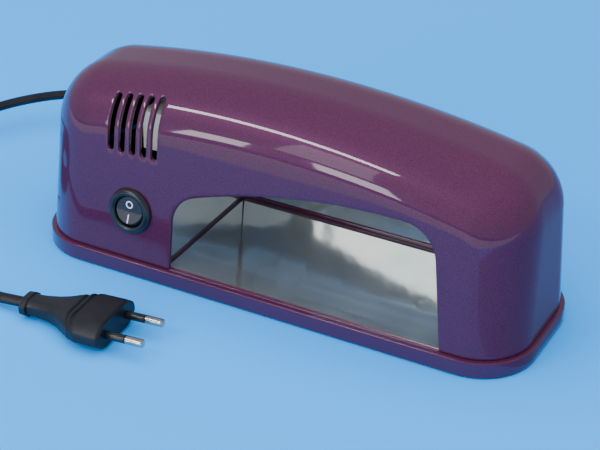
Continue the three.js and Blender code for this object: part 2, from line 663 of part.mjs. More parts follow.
add('plug_body', plugBody(), 'black', plug);
[-1, 1].forEach((side) => {
  const place = side < 0 ? 'front' : 'rear';
  const metal = [[0, GAP], [1.3, GAP], [1.3, PIN_SLEEVE_LENGTH + GAP],
    [PIN_RADIUS, PIN_SLEEVE_LENGTH + GAP], [PIN_RADIUS, PIN_LENGTH - 1.4],
    [1.2, PIN_LENGTH - 0.3], [0, PIN_LENGTH]];
  const sleeve = [[1.6, GAP], [PIN_RADIUS, GAP], [PIN_RADIUS, PIN_SLEEVE_LENGTH],
    [1.6, PIN_SLEEVE_LENGTH], [1.6, GAP]];
  add(`plug_pin_${place}`, turnedAlongX(metal, 14), 'nickel', plug)
    .position.y = side * PIN_SPACING / 2;
  add(`pin_sleeve_${place}`, turnedAlongX(sleeve, 14), 'black', plug)
    .position.y = side * PIN_SPACING / 2;
});

// The free cord, from the coil along the table and up into the plug's tail.
plug.updateMatrixWorld(true);
const tail = new THREE.Vector3(-PLUG.length - GAP, 0, 0).applyMatrix4(plug.matrixWorld);
const frontRoute = [
  [-203, -71.8, 2.6], [-190, -78.5, 2.4], [-174, -85.5, 2.3], [-156, -90.8, 2.3],
  [-138, -94, 2.5], [-122, -95.6, 3.1], [-108, -95.7, 4.1], tail.toArray(),
];
add('cord_front', tube(frontRoute, CORD_RADIUS, 14, 10), 'black');

lamp.updateMatrixWorld(true);

export default lamp;
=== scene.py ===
# %% [markdown]
# # A nail lamp, piece by piece
# The lamp is a glossy plastic tunnel on a flanged base. A hand goes in through the front, onto
# a mirrored floor and under an ultraviolet tube. The exact CAD pieces come first, as a fixed
# frame: everything made below is placed from their boxes and from the lamp's own dimensions.

# %% Load the frame
import bmesh
import bpy
import mathutils
import numpy as np
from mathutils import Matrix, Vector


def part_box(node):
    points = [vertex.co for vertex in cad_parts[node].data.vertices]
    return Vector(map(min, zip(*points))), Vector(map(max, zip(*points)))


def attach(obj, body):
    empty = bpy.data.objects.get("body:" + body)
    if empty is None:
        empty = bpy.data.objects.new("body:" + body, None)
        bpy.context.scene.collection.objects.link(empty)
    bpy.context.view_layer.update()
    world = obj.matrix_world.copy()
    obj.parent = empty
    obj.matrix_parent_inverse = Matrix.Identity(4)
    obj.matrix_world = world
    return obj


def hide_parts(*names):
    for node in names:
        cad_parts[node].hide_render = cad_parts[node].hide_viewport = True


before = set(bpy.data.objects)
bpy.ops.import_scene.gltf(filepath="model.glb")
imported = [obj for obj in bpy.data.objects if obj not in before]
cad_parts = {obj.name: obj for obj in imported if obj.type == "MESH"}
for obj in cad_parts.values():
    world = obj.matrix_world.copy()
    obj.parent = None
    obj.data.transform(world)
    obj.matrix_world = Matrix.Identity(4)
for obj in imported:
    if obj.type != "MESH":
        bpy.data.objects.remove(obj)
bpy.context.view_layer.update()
MM = 0.001


def box_mm(node):
    """The low and high corner of a CAD node, in millimetres."""
    return [np.array(corner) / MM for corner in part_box(node)]


# %% [markdown]
# ## The camera
# A camera is a place and three directions. Here it is given the way one would say it beside
# the table: how far round the lamp it stands, how high it looks down from, its small roll, and
# the point that it looks at. The long lens keeps the lamp's lines nearly parallel.

# %% Camera
CAMERA_TURN, CAMERA_LIFT, CAMERA_ROLL = np.radians([26.89, 30.34, 1.41])
CAMERA_TARGET = np.array([9.63, -20.67, 39.9]) * MM
CAMERA_DISTANCE = 845.45 * MM

back = np.array([
    np.sin(CAMERA_TURN) * np.cos(CAMERA_LIFT),
    -np.cos(CAMERA_TURN) * np.cos(CAMERA_LIFT),
    np.sin(CAMERA_LIFT)])
level = np.array([np.cos(CAMERA_TURN), np.sin(CAMERA_TURN), 0])
upright = np.cross(back, level)
right = level * np.cos(CAMERA_ROLL) + upright * np.sin(CAMERA_ROLL)
up = upright * np.cos(CAMERA_ROLL) - level * np.sin(CAMERA_ROLL)

lens = bpy.data.cameras.new("camera")
lens.lens = 109.2
lens.sensor_width = 36
camera = bpy.data.objects.new("camera", lens)
bpy.context.scene.collection.objects.link(camera)
turned = mathutils.Matrix(np.column_stack([right, up, back]).tolist())
camera.matrix_world = mathutils.Matrix.LocRotScale(
    mathutils.Vector(CAMERA_TARGET + back * CAMERA_DISTANCE), turned.to_quaternion(), None)
bpy.context.scene.camera = camera
print("camera at", CAMERA_TARGET + back * CAMERA_DISTANCE)

# %% [markdown]
# ## Turning arrays into pieces
# Every new piece below is a surface worked out with arrays: a grid of points, row by row, and
# the four-sided faces between them. These few helpers put such a grid into a mesh, weld seams
# and poles shut, turn the faces outwards and keep creases sharp.

# %% Helpers for meshes
def grid_faces(rows, columns, ring=True):
    """Quads of a grid numbered row by row; with ring, each row closes on itself."""
    row = np.arange(rows - 1)[:, None] * columns
    column = np.arange(columns if ring else columns - 1)[None, :]
    beside = (column + 1) % columns
    corners = (row + column, row + beside, row + columns + beside, row + columns + column)
    return np.stack(corners, axis=-1).reshape(-1, 4).tolist()


def capped(grid):
    """A tube of rings (rows, columns, 3) as points and faces, with its two ends filled."""
    rows, columns = grid.shape[:2]
    ends = [list(range(columns))[::-1], list(range((rows - 1) * columns, rows * columns))]
    return grid.reshape(-1, 3), grid_faces(rows, columns) + ends


def joined(parts):
    """Several (points, faces) shapes as one, each keeping its own closed surface."""
    points, faces, start = [], [], 0
    for part_points, part_faces in parts:
        points.append(part_points)
        faces += [[start + corner for corner in face] for face in part_faces]
        start += len(part_points)
    return np.concatenate(points), faces


def piece(name, shape, material, body="lamp", crease=35):
    """Make a piece from (points, faces) in millimetres and let it ride on a body."""
    points, faces = shape
    mesh = bpy.data.meshes.new(name)
    mesh.from_pydata((points * MM).tolist(), [], faces)
    work = bmesh.new()
    work.from_mesh(mesh)
    bmesh.ops.remove_doubles(work, verts=work.verts, dist=2e-6)
    bmesh.ops.dissolve_degenerate(work, edges=work.edges, dist=1e-6)
    bmesh.ops.recalc_face_normals(work, faces=work.faces)
    work.to_mesh(mesh)
    work.free()
    mesh.shade_smooth()
    mesh.set_sharp_from_angle(angle=np.radians(crease))
    mesh.materials.append(material)
    made = bpy.data.objects.new(name, mesh)
    bpy.context.scene.collection.objects.link(made)
    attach(made, body)
    print(name, len(mesh.polygons), "faces")
    return made


def lathe(profile, centre, axis, sides=64):
    """Turn (radius, distance) points about an axis through the centre."""
    profile = np.asarray(profile, float)
    angle = np.linspace(0, 2 * np.pi, sides, endpoint=False)
    axis = np.asarray(axis, float)
    first = np.cross(axis, [0.3, 0.5, 0.81])
    first /= np.linalg.norm(first)
    second = np.cross(axis, first)
    out = np.cos(angle)[:, None] * first + np.sin(angle)[:, None] * second
    grid = (np.asarray(centre) + profile[:, 1, None, None] * axis
            + profile[:, 0, None, None] * out[None])
    return grid.reshape(-1, 3), grid_faces(*grid.shape[:2])


def squared_circle(turn, power):
    """Cosine and sine of a turn, each keeping its sign and raised to a power."""
    wave = np.stack([np.cos(turn), np.sin(turn)])
    return np.sign(wave) * np.abs(wave) ** power


def closed(grid):
    """A shape from rings of which the last also joins the first, like a strap."""
    grid = np.concatenate([grid, grid[:1]])
    return grid.reshape(-1, 3), grid_faces(*grid.shape[:2])


def rounded(profile, radius, steps=4):
    """Cut each inner corner of an open outline by a radius: a curve from arm to arm."""
    profile = np.asarray(profile, float)
    smooth = [profile[:1]]
    t = np.linspace(0, 1, steps + 1)[:, None]
    for before, corner, after in zip(profile[:-2], profile[1:-1], profile[2:]):
        arms = [before - corner, after - corner]
        lengths = [np.linalg.norm(arm) for arm in arms]
        reach = min(radius, lengths[0] * 0.45, lengths[1] * 0.45)
        start, end = (corner + arm / length * reach for arm, length in zip(arms, lengths))
        smooth.append((1 - t) ** 2 * start + 2 * t * (1 - t) * corner + t ** 2 * end)
    smooth.append(profile[-1:])
    return np.concatenate(smooth)

# %% [markdown]
# ## Materials
# One function adds a node with its settings and links. Colours are written as sRGB hex, the
# way a colour card gives them, and turned to the linear values that light works in.

# %% Helpers for materials
def linear(code):
    """An sRGB hex colour as a linear RGBA tuple."""
    value = np.array([int(code[i:i + 2], 16) for i in (1, 3, 5)]) / 255
    value = np.where(value <= 0.04045, value / 12.92, ((value + 0.055) / 1.055) ** 2.4)
    return (*value.tolist(), 1.0)


def add_node(tree, kind, inputs=(), **settings):
    """Add a node, set its properties, and fill or link its inputs by name."""
    node = tree.nodes.new("ShaderNode" + kind)
    for name, value in settings.items():
        setattr(node, name, value)
    for name, value in dict(inputs).items():
        if isinstance(value, bpy.types.NodeSocket):
            tree.links.new(value, node.inputs[name])
        else:
            node.inputs[name].default_value = value
    return node


def new_material(name, **finish):
    """A material with its shader's own sockets set; gives tree, shader and coordinates too."""
    material = bpy.data.materials.new(name)
    material.use_nodes = True
    tree = material.node_tree
    shader = tree.nodes["Principled BSDF"]
    for socket, value in finish.items():
        shader.inputs[socket.replace("_", " ")].default_value = value
    coords = add_node(tree, "TexCoord").outputs["Object"]
    return material, tree, shader, coords


def mottled(tree, coords, size_mm, dark, light, detail=3.0):
    """Noise with blobs of a size in millimetres, between two colours."""
    noise = add_node(tree, "TexNoise", {"Vector": coords, "Scale": 1 / (size_mm * MM),
                                        "Detail": detail})
    ramp = add_node(tree, "ValToRGB", {"Fac": noise.outputs["Fac"]})
    ramp.color_ramp.elements[0].position = 0.3
    ramp.color_ramp.elements[0].color = linear(dark)
    ramp.color_ramp.elements[1].position = 0.7
    ramp.color_ramp.elements[1].color = linear(light)
    return ramp.outputs["Color"], noise.outputs["Fac"]


def roughness_between(tree, shader, pattern, low, high):
    """Let a pattern from 0 to 1 drive the roughness between two values."""
    spread = add_node(tree, "MapRange", {"Value": pattern, "To Min": low, "To Max": high})
    tree.links.new(spread.outputs["Result"], shader.inputs["Roughness"])


def mottled_material(name, size_mm, dark, light, shine=None, detail=3.0, **finish):
    """A material whose colour wanders with a noise, and between two roughnesses if given."""
    material, tree, shader, coords = new_material(name, **finish)
    colour, cloud = mottled(tree, coords, size_mm, dark, light, detail)
    tree.links.new(colour, shader.inputs["Base Color"])
    if shine is not None:
        roughness_between(tree, shader, cloud, *shine)
    return material, tree, shader, coords, cloud


def bumped(tree, shader, height, depth_mm, strength=1.0, under=None):
    """Feed a height pattern to the shader's normal, with its real depth in millimetres."""
    inputs = {"Height": height, "Distance": depth_mm * MM, "Strength": strength}
    if under is not None:
        inputs["Normal"] = under
    bump = add_node(tree, "Bump", inputs)
    tree.links.new(bump.outputs["Normal"], shader.inputs["Normal"])
    return bump.outputs["Normal"]

# %% [markdown]
# ### Flexible PVC
# The cord, plug and strain relief are soft black PVC, moulded and extruded. It is a plastic
# with an IOR near 1.53 and a satin surface: fine pores from the mould break the highlight,
# and handling leaves it a little greasy in patches.

# %% Black PVC
black_pvc, tree, shader, coords, _ = mottled_material(
    "black_soft_pvc", 9, "#0b0c10", "#14151b", (0.36, 0.52), IOR=1.53)
pores = add_node(tree, "TexNoise", {"Vector": coords, "Scale": 1 / (0.35 * MM), "Detail": 2.0})
bumped(tree, shader, pores.outputs["Fac"], 0.02, 0.6)

# %% [markdown]
# ## The mains cord
# A small lamp has a flat two-core cord, 3.9 mm by 5.2 mm. It leaves the strain relief at the
# back, swings round the left end in the air while its stiffness carries it, and lies down
# beside the lamp, where the spare length is wound in a coil and tied. It could be a curve with
# a bevel, but a flat cord has to turn its wide side up in the coil, so its rings are worked
# out here: a centreline, a twist along it, and one oval section at every point.

# %% Centreline of the cord
CORD_THICK, CORD_WIDE = 3.9, 5.2
LYING_TWIST = np.radians(35)
GLAND_X, GLAND_Z = -92.0, 18.0
COIL_X, COIL_Y, COIL_TIE = -218.0, -38.0, np.radians(125)
COIL_RADII = np.array([32.9, 29.0, 25.1, 25.1, 29.0, 32.9, 32.9])
COIL_TURNS = 6.25
COIL_TOP, COIL_LAYER, CROSSING, TIE_LIFT = 7.9, 5.2, 0.14, 1.2
sleeve_tip = box_mm("cord_bushing")[1][1]

rear_route = np.array([
    [GLAND_X, sleeve_tip + 0.3, GLAND_Z], [-92.5, 72, 18], [-96, 84, 18.1], [-105, 94, 18.3],
    [-119, 99.5, 18.6], [-135, 99.5, 18.7], [-152, 94, 18.8], [-168, 86.4, 18.6],
    [-184, 76.2, 18.2], [-196, 67, 17.5], [-207.5, 54.5, 16.3], [-219, 37, 14.6],
    [-232, 18, 12.8], [-243, 1, 11], [-248.6, -16, 9.2]])
front_route = np.array([
    [-203, -71.3, 3.2], [-190, -76.5, 2.9], [-174, -84.3, 2.8], [-156, -90.4, 2.9],
    [-138, -94, 3.1], [-122, -95.6, 3.6], [-108, -95.7, 4.8], [-96.5, -94.9, 5.5]])


def coil_centreline(count):
    """Walk round the coil: radius and height step over at each full turn, and lift at the tie."""
    turn = np.linspace(0, COIL_TURNS, count)
    angle = np.pi + 2 * np.pi * turn
    level_from = np.floor(turn + 0.5).astype(int)
    nearest = np.clip((turn - level_from + CROSSING / 2) / CROSSING, 0, 1)
    blend = nearest ** 2 * (3 - 2 * nearest)
    before = COIL_RADII[np.clip(level_from - 1, 0, 6)]
    after = COIL_RADII[np.clip(level_from, 0, 6)]
    radius = before + (after - before) * blend
    drop = np.clip((turn - 3 + CROSSING / 2) / CROSSING, 0, 1)
    away = np.abs((angle - COIL_TIE + np.pi) % (2 * np.pi) - np.pi)
    lift = TIE_LIFT * np.exp(-(away / 0.5) ** 2)
    height = COIL_TOP - COIL_LAYER * drop ** 2 * (3 - 2 * drop) + lift
    return np.column_stack([COIL_X + radius * np.cos(angle), COIL_Y + radius * np.sin(angle),
                            height])


def catmull_rom(points, steps=14):
    """A smooth curve through points: on each span a cubic whose slopes span its neighbours."""
    ends = np.vstack([2 * points[0] - points[1], points, 2 * points[-1] - points[-2]])
    t = np.linspace(0, 1, steps, endpoint=False)[None, :, None]
    p0, p1, p2, p3 = (ends[i:len(ends) - 3 + i, None, :] for i in range(4))
    spans = 0.5 * (2 * p1 + (p2 - p0) * t + (2 * p0 - 5 * p1 + 4 * p2 - p3) * t ** 2
                   + (3 * p1 - p0 - 3 * p2 + p3) * t ** 3)
    return np.vstack([spans.reshape(-1, 3), points[-1:]])


def even(points, step):
    """Points at an even step along a line, with the distance of each from the start."""
    along = np.r_[0, np.cumsum(np.linalg.norm(np.diff(points, axis=0), axis=1))]
    place = np.linspace(0, along[-1], int(along[-1] / step) + 1)
    spaced = np.column_stack([np.interp(place, along, points[:, i]) for i in range(3)])
    return spaced, place


coil = coil_centreline(int(COIL_TURNS * 72))
line, place = even(catmull_rom(np.vstack([rear_route, coil[6:-6:6], front_route]), 6), 1.6)

# %% Rings of the cord
tangent = np.gradient(line, axis=0)
tangent /= np.linalg.norm(tangent, axis=1)[:, None]
side = np.cross([0, 0, 1], tangent)
side /= np.linalg.norm(side, axis=1)[:, None]
over = np.cross(tangent, side)
into_coil = np.argmin(np.linalg.norm(line - coil[0], axis=1))
out_of_coil = np.argmin(np.linalg.norm(line - coil[-1], axis=1))
step_in = np.clip((place - place[into_coil] + 55) / 50, 0, 1)
step_out = np.clip((place[out_of_coil] + 40 - place) / 36, 0, 1)
turn_in = (3 - 2 * step_in) * step_in ** 2
turn_out = 1 - (3 - 2 * step_out) * step_out ** 2
twist = -LYING_TWIST - (np.pi / 2 - LYING_TWIST) * (turn_in + turn_out)
wide = side * np.cos(twist)[:, None] + over * np.sin(twist)[:, None]
thin = over * np.cos(twist)[:, None] - side * np.sin(twist)[:, None]
around = np.linspace(0, 2 * np.pi, 20, endpoint=False)
waist = 1 - 0.06 * np.exp(-(np.cos(around) / 0.3) ** 2)
across = squared_circle(around, 0.8)[0] * CORD_WIDE / 2
deep = np.sin(around) * waist * CORD_THICK / 2
rings = (line[:, None, :] + wide[:, None, :] * across[None, :, None]
         + thin[:, None, :] * deep[None, :, None])
# where the cord lies on the floor, its underside is pressed flat against it
FLOOR_CONTACT = 0.02
rings[..., 2] = np.maximum(rings[..., 2], FLOOR_CONTACT)
cord = piece("mains_cord", capped(rings), black_pvc, crease=60)
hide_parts("cord_rear", "cord_coil", "cord_front")

# %% [markdown]
# ## Purple ABS
# The housing and base are moulded in ABS with a pearl pigment and a polished skin. Pearl
# flakes reflect their own purple, like a weak metal, and the clear skin over them mirrors
# the room: so the shader is part metallic, with a sharp coat, and under that coat the pigment
# has hardly any shine of its own. A very shallow swell in the skin, some 14 mm across, bends
# the reflections a little, as moulded plastic does.

# %% Pearl ABS
purple_abs, tree, shader, coords, _ = mottled_material(
    "pearl_purple_abs", 0.5, "#461a38", "#532647", detail=1.0, Metallic=0.35, Roughness=0.38,
    IOR=1.54, Specular_IOR_Level=0.1, Coat_Weight=0.85, Coat_Roughness=0.035, Coat_IOR=1.5)
swell = add_node(tree, "TexNoise", {"Vector": coords, "Scale": 1 / (14 * MM), "Detail": 0.0})
bumped(tree, shader, swell.outputs["Fac"], 0.05, 0.25)

# %% [markdown]
# ## The housing
# The housing is one moulding 2.2 mm thick: a flat leaning front, a large rounding that turns
# over into the crown and the ends, and the same at the back. It could be a box with bevels
# and cut-outs, but cuts across the rounding leave shading faults on a glossy skin. So the
# front is unrolled flat: the big rounding becomes a border as wide as its arc, the hand
# opening, the vents and the switch hole are drawn on that flat pattern, the pattern is
# filled with triangles, and only then is every point bent to its exact place.

# %% The housing's dimensions
WALL, FOOT_Z = 2.2, 8.9
HALF_LENGTH, HALF_WIDTH, SHOULDER = 125.8, 41.8, 26.0
FACE_LEAN, END_LEAN = np.tan(np.radians(6)), np.radians(1.6)
END_ROUNDING = 29.0
CROWN = np.array([-5.0, 102.2 - 520.0])
CROWN_RADIUS = 520.0
DEPTH = HALF_WIDTH - SHOULDER
BORDER = SHOULDER * np.pi / 2


def corner_centre(foot, lean, rounding, crown, radius):
    """The centre of the circle that touches a leaning side and a crown arc from inside."""
    slope = np.tan(lean)
    reach = foot - rounding / np.cos(lean) + slope * FOOT_Z - crown[0]
    total = 1 + slope ** 2
    middle = (reach * slope + crown[1]) / total
    rest = (reach ** 2 + crown[1] ** 2 - (radius - rounding) ** 2) / total
    z = middle + np.sqrt(middle ** 2 - rest)
    return np.array([crown[0] + reach - slope * z, z])


def arch_half(foot, lean, rounding, crown, radius, step, inset=0.0):
    """From the foot up the side, round the corner and along the crown to its top."""
    centre = corner_centre(foot, lean, rounding, crown, radius)
    meet = np.arctan2(*(centre - crown)[::-1])
    normal = np.array([np.cos(lean), np.sin(lean)])
    low = np.array([foot - inset / np.cos(lean), FOOT_Z])
    high = centre + normal * (rounding - inset)
    side = low + (high - low) * np.linspace(0, 1, max(2, int((high - low)[1] / step)))[:, None]
    turn = np.linspace(lean, meet, max(3, int((rounding - inset) * (meet - lean) / step)))[1:]
    bend = centre + (rounding - inset) * np.column_stack([np.cos(turn), np.sin(turn)])
    sweep = np.linspace(meet, np.pi / 2, int(radius * (np.pi / 2 - meet) / step))[1:]
    top = crown + (radius - inset) * np.column_stack([np.cos(sweep), np.sin(sweep)])
    return np.vstack([side, bend, top])


def arch(left, right, step, inset=0.0):
    """Right foot over the crown to left foot; each side is (foot, lean, rounding, crown, radius)."""
    ascent = arch_half(*right, step, inset)
    descent = arch_half(*left, step, inset)[::-1] * [-1, 1]
    return np.vstack([ascent, descent[1:]])


HOUSING_RIGHT = (HALF_LENGTH, END_LEAN, END_ROUNDING, CROWN, CROWN_RADIUS)
HOUSING_LEFT = (HALF_LENGTH, END_LEAN, END_ROUNDING, CROWN * [-1, 1], CROWN_RADIUS)
OPENING_CROWN = np.array([62.0, 66.2 - 296.0])
OPENING_RIGHT = (91.2, np.radians(8.4), 17.0, OPENING_CROWN, 296.0)
OPENING_LEFT = (49.2, 0.0, 17.0, OPENING_CROWN * [-1, 1], 296.0)
print("top of the housing", round(arch(HOUSING_LEFT, HOUSING_RIGHT, 2)[:, 1].max(), 2), "mm")

# %% [markdown]
# Bending the pattern: inside the flat face a point stays where it is. Outside it, the point
# is a distance w beyond the edge of the flat, along that edge's normal, and it wraps round a
# circle of the shoulder's radius: it moves out by r sin(w / r), and back by r - r cos(w / r).

# %% Bend the pattern into the housing
def flat_edge(points):
    """For each point, its distance w beyond the flat face's edge and the edge's normal."""
    from_crown = points - CROWN
    reach = np.linalg.norm(from_crown, axis=1)
    normal = from_crown / reach[:, None]
    beyond = reach - (CROWN_RADIUS - SHOULDER)
    for sign, half in ((1, HOUSING_RIGHT), (-1, HOUSING_LEFT)):
        corner = corner_centre(*half)
        meet = np.arctan2(*(corner - half[3])[::-1])
        local = points * [sign, 1] - corner
        angle = np.arctan2(local[:, 1], local[:, 0])
        distance = np.linalg.norm(local, axis=1) + 1e-9
        in_corner = (angle >= END_LEAN) & (angle <= meet)
        on_side = (angle < END_LEAN) & (local[:, 0] > 0)
        side_normal = np.array([np.cos(END_LEAN), np.sin(END_LEAN)])
        bend = local / distance[:, None] * [sign, 1]
        normal = np.where(in_corner[:, None], bend, normal)
        beyond = np.where(in_corner, distance - (END_ROUNDING - SHOULDER), beyond)
        normal = np.where(on_side[:, None], side_normal * [sign, 1], normal)
        beyond = np.where(on_side, local @ side_normal - (END_ROUNDING - SHOULDER), beyond)
    return np.maximum(beyond, 0), normal


def bend_face(points, front=True):
    """Pattern points to space: wrap the border round the shoulder, then lean the face."""
    beyond, normal = flat_edge(points)
    moved = points + normal * (SHOULDER * np.sin(beyond / SHOULDER) - beyond)[:, None]
    out = DEPTH + SHOULDER * np.cos(beyond / SHOULDER) - FACE_LEAN * (moved[:, 1] - FOOT_Z)
    return np.column_stack([moved[:, 0], -out if front else out, moved[:, 1]])


def pattern_outline(step):
    """The pattern's outer edge: the housing's arch moved out along its own normals."""
    rim = arch(HOUSING_LEFT, HOUSING_RIGHT, step)
    edge_normal = flat_edge(rim)[1]
    return rim + edge_normal * (BORDER - SHOULDER)


def foot_line(x_inner, sign, step):
    """The foot from the rim to the flat face: kept on the level of the foot as it bends."""
    w = np.linspace(BORDER, 0, int(BORDER / step))[1:]
    slope = np.sin(END_LEAN)
    wrapped = SHOULDER * np.sin(w / SHOULDER)
    z = FOOT_Z - slope * wrapped
    inner = HALF_LENGTH - SHOULDER / np.cos(END_LEAN) - np.tan(END_LEAN) * (z - FOOT_Z)
    bent = np.column_stack([sign * (inner + np.cos(END_LEAN) * w), z + slope * w])
    x = np.linspace(bent[-1, 0], x_inner, max(2, int(abs(bent[-1, 0] - x_inner) / step)))[1:]
    flat = np.column_stack([x, np.full(len(x), FOOT_Z)])
    return np.vstack([bent, flat])


def circle(x, z, radius, count):
    """A ring of points."""
    angle = np.linspace(0, 2 * np.pi, count, endpoint=False)
    return np.column_stack([x + radius * np.cos(angle), z + radius * np.sin(angle)])


def slot_outline(x, low, high, width, step):
    """A slot with round ends: two half circles joined by straight sides."""
    radius = width / 2
    turn = np.linspace(0, np.pi, 9)
    cap = radius * np.column_stack([np.cos(turn), np.sin(turn)])
    rise = np.linspace(low + radius, high - radius, int((high - low) / step))[1:-1]
    climb = np.column_stack([np.full(len(rise), radius), rise])
    return np.vstack([climb, cap + [0, high - radius], (climb * [-1, 1])[::-1],
                      [0, low + radius] - cap]) + [x, 0]

# %% [markdown]
# Filling the pattern: an even lattice of points fills it, kept a little away from every edge
# so that no triangle is a sliver, and Blender's two-dimensional Delaunay routine joins the
# points. Triangles that fall outside the outline or inside a hole are dropped.

# %% Fill a pattern with triangles
def inside(points, loop):
    """Even-odd rule: a point is inside if a level ray crosses the loop an odd number of times."""
    x, z = points[:, 0, None], points[:, 1, None]
    x0, z0 = loop.T
    x1, z1 = np.roll(loop, -1, axis=0).T
    rise = np.where(z1 == z0, 1e-9, z1 - z0)
    crossed = ((z0 > z) != (z1 > z)) & (x < x0 + (z - z0) * (x1 - x0) / rise)
    return crossed.sum(axis=1) % 2 == 1


def edge_distance(points, loop):
    """Distance from each point to the nearest corner or middle of a loop's edges."""
    marks = np.vstack([loop, (loop + np.roll(loop, -1, axis=0)) / 2])
    nearest = np.full(len(points), np.inf)
    for block in np.array_split(marks, max(1, len(marks) // 60)):
        gap = np.linalg.norm(points[:, None, :] - block[None], axis=2).min(axis=1)
        nearest = np.minimum(nearest, gap)
    return nearest


def fill(outline, holes, spacing, clear):
    """Triangles inside the outline and outside the holes, as (points, faces)."""
    low, high = outline.min(axis=0), outline.max(axis=0)
    rows = np.arange(low[1], high[1], spacing * np.sqrt(3) / 2)
    columns = np.arange(low[0], high[0], spacing)
    x, z = np.meshgrid(columns, rows)
    x = x + (np.arange(len(rows)) % 2 * spacing / 2)[:, None]
    lattice = np.column_stack([x.ravel(), z.ravel()])
    loops = [outline, *holes]
    keep = inside(lattice, outline)
    for hole in holes:
        keep &= ~inside(lattice, hole)
    lattice = lattice[keep]
    for loop in loops:
        lattice = lattice[edge_distance(lattice, loop) > clear]
    starts = np.cumsum([0] + [len(loop) for loop in loops])
    edges = [(int(start + i), int(start + (i + 1) % len(loop)))
             for start, loop in zip(starts, loops) for i in range(len(loop))]
    points = np.vstack([*loops, lattice])
    made = mathutils.geometry.delaunay_2d_cdt(points.tolist(), edges, [], 0, 1e-7)
    points = np.array([tuple(point) for point in made[0]])
    faces = np.array(made[2])
    middle = points[faces].mean(axis=1)
    keep = inside(middle, outline)
    for hole in holes:
        keep &= ~inside(middle, hole)
    return points, faces[keep]

# %% Front, band and back of the housing
SKIN_STEP = 1.9
SLOT_X = -83.8 + 5.9 * np.arange(5)
SLOT_HALF = 3.3 / 2
SLOT_LOW, SLOT_DROP = 62.0, 8.0
SWITCH_X, SWITCH_Z = -71.5, 33.7

rim = pattern_outline(SKIN_STEP)
opening = arch(OPENING_LEFT, OPENING_RIGHT, SKIN_STEP)
front_outline = np.vstack([
    rim, foot_line(opening[-1, 0], -1, SKIN_STEP), opening[::-1][1:-1],
    foot_line(opening[0, 0], 1, SKIN_STEP)[::-1]])
back_outline = np.vstack([
    rim, foot_line(0.0, -1, SKIN_STEP), foot_line(0.0, 1, SKIN_STEP)[::-1][1:]])

crown_z = CROWN[1] + np.sqrt((CROWN_RADIUS - SHOULDER) ** 2 - (SLOT_X - CROWN[0]) ** 2)
slot_high = crown_z + SHOULDER * np.arcsin(1 - SLOT_DROP / SHOULDER)
slots = [slot_outline(x, SLOT_LOW, high, 2 * SLOT_HALF, 1.2) for x, high in zip(SLOT_X, slot_high)]
switch_hole = circle(SWITCH_X, SWITCH_Z, 10.2, 60)
gland_hole = circle(GLAND_X, GLAND_Z, 4.8, 32)

front_flat, front_faces = fill(front_outline, [*slots, switch_hole], SKIN_STEP, 1.0)
back_flat, back_faces = fill(back_outline, [gland_hole], SKIN_STEP, 1.0)
front = (bend_face(front_flat), front_faces.tolist())
rear = (bend_face(back_flat, front=False), back_faces[:, ::-1].tolist())

edge_front = bend_face(rim)
edge_back = bend_face(rim, front=False)
share = np.linspace(0, 1, 17)[:, None, None]
band_grid = edge_front[None] * (1 - share) + edge_back[None] * share
band = (band_grid.reshape(-1, 3), grid_faces(*band_grid.shape[:2], ring=False))

# %% Give the skin its wall and round its edges
def consistent(made):
    """Turn a sheet's faces the way that its highest face points up."""
    work = bmesh.new()
    work.from_mesh(made.data)
    highest = max(work.faces, key=lambda face: face.calc_center_median().z)
    if highest.normal.z < 0:
        bmesh.ops.reverse_faces(work, faces=work.faces)
    work.to_mesh(made.data)
    work.free()


def add_modifier(made, name, kind, **settings):
    """Add a modifier and set its properties."""
    modifier = made.modifiers.new(name, kind)
    for key, value in settings.items():
        setattr(modifier, key, value)
    return modifier


housing = piece("housing_skin", joined([front, band, rear]), purple_abs)
consistent(housing)
add_modifier(housing, "wall", "SOLIDIFY", thickness=WALL * MM, offset=-1,
             use_even_offset=True)
add_modifier(housing, "edges", "BEVEL", width=0.45 * MM, segments=2,
             limit_method="ANGLE", angle_limit=np.radians(50), use_clamp_overlap=False)

bosses = joined([lathe([[1.75, FOOT_Z + 0.2], [4, FOOT_Z + 0.2], [4, 25.5], [1.75, 25.5],
                        [1.75, FOOT_Z + 0.2]], [sx * 114.5, sy * 30.5, 0], [0, 0, 1], 32)
                 for sx in (-1, 1) for sy in (-1, 1)])
boss_piece = piece("housing_bosses", bosses, purple_abs)
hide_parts("housing_shell")
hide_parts("housing_shell")

# %% [markdown]
# ## The base
# The base is a shallow tray turned upside down: a deck with a skirt round it and a rounded
# upper edge that catches a long thin highlight. It is one profile carried round a rounded
# rectangle. A point of that outline is a corner's centre plus a radius times a direction, so
# drawing the outline in by an inset only shortens the radius.

# %% Outline and profile of the base
BASE_CORNER, BASE_X, BASE_Y = 28.2, 128.0, 44.0
DECK_TOP, LIP_TOP = 8.6, 11.4


def base_path(step=2.0):
    """Centres and directions round the rounded rectangle, counter-clockwise from +X."""
    x, y = BASE_X - BASE_CORNER, BASE_Y - BASE_CORNER
    turn = np.linspace(0, np.pi / 2, 19)
    centres, directions = [], []
    stops = [(x, y), (-x, y), (-x, -y), (x, -y)]
    for quarter, (stop, after) in enumerate(zip(stops, stops[1:] + stops[:1])):
        angle = turn + quarter * np.pi / 2
        centres.append(np.tile(stop, (len(angle), 1)))
        directions.append(np.column_stack([np.cos(angle), np.sin(angle)]))
        count = int(np.hypot(after[0] - stop[0], after[1] - stop[1]) / step)
        share = np.linspace(0, 1, count, endpoint=False)[1:, None]
        centres.append(np.array(stop) * (1 - share) + np.array(after) * share)
        directions.append(np.tile(directions[-1][-1], (count - 1, 1)))
    return np.vstack(centres), np.vstack(directions)


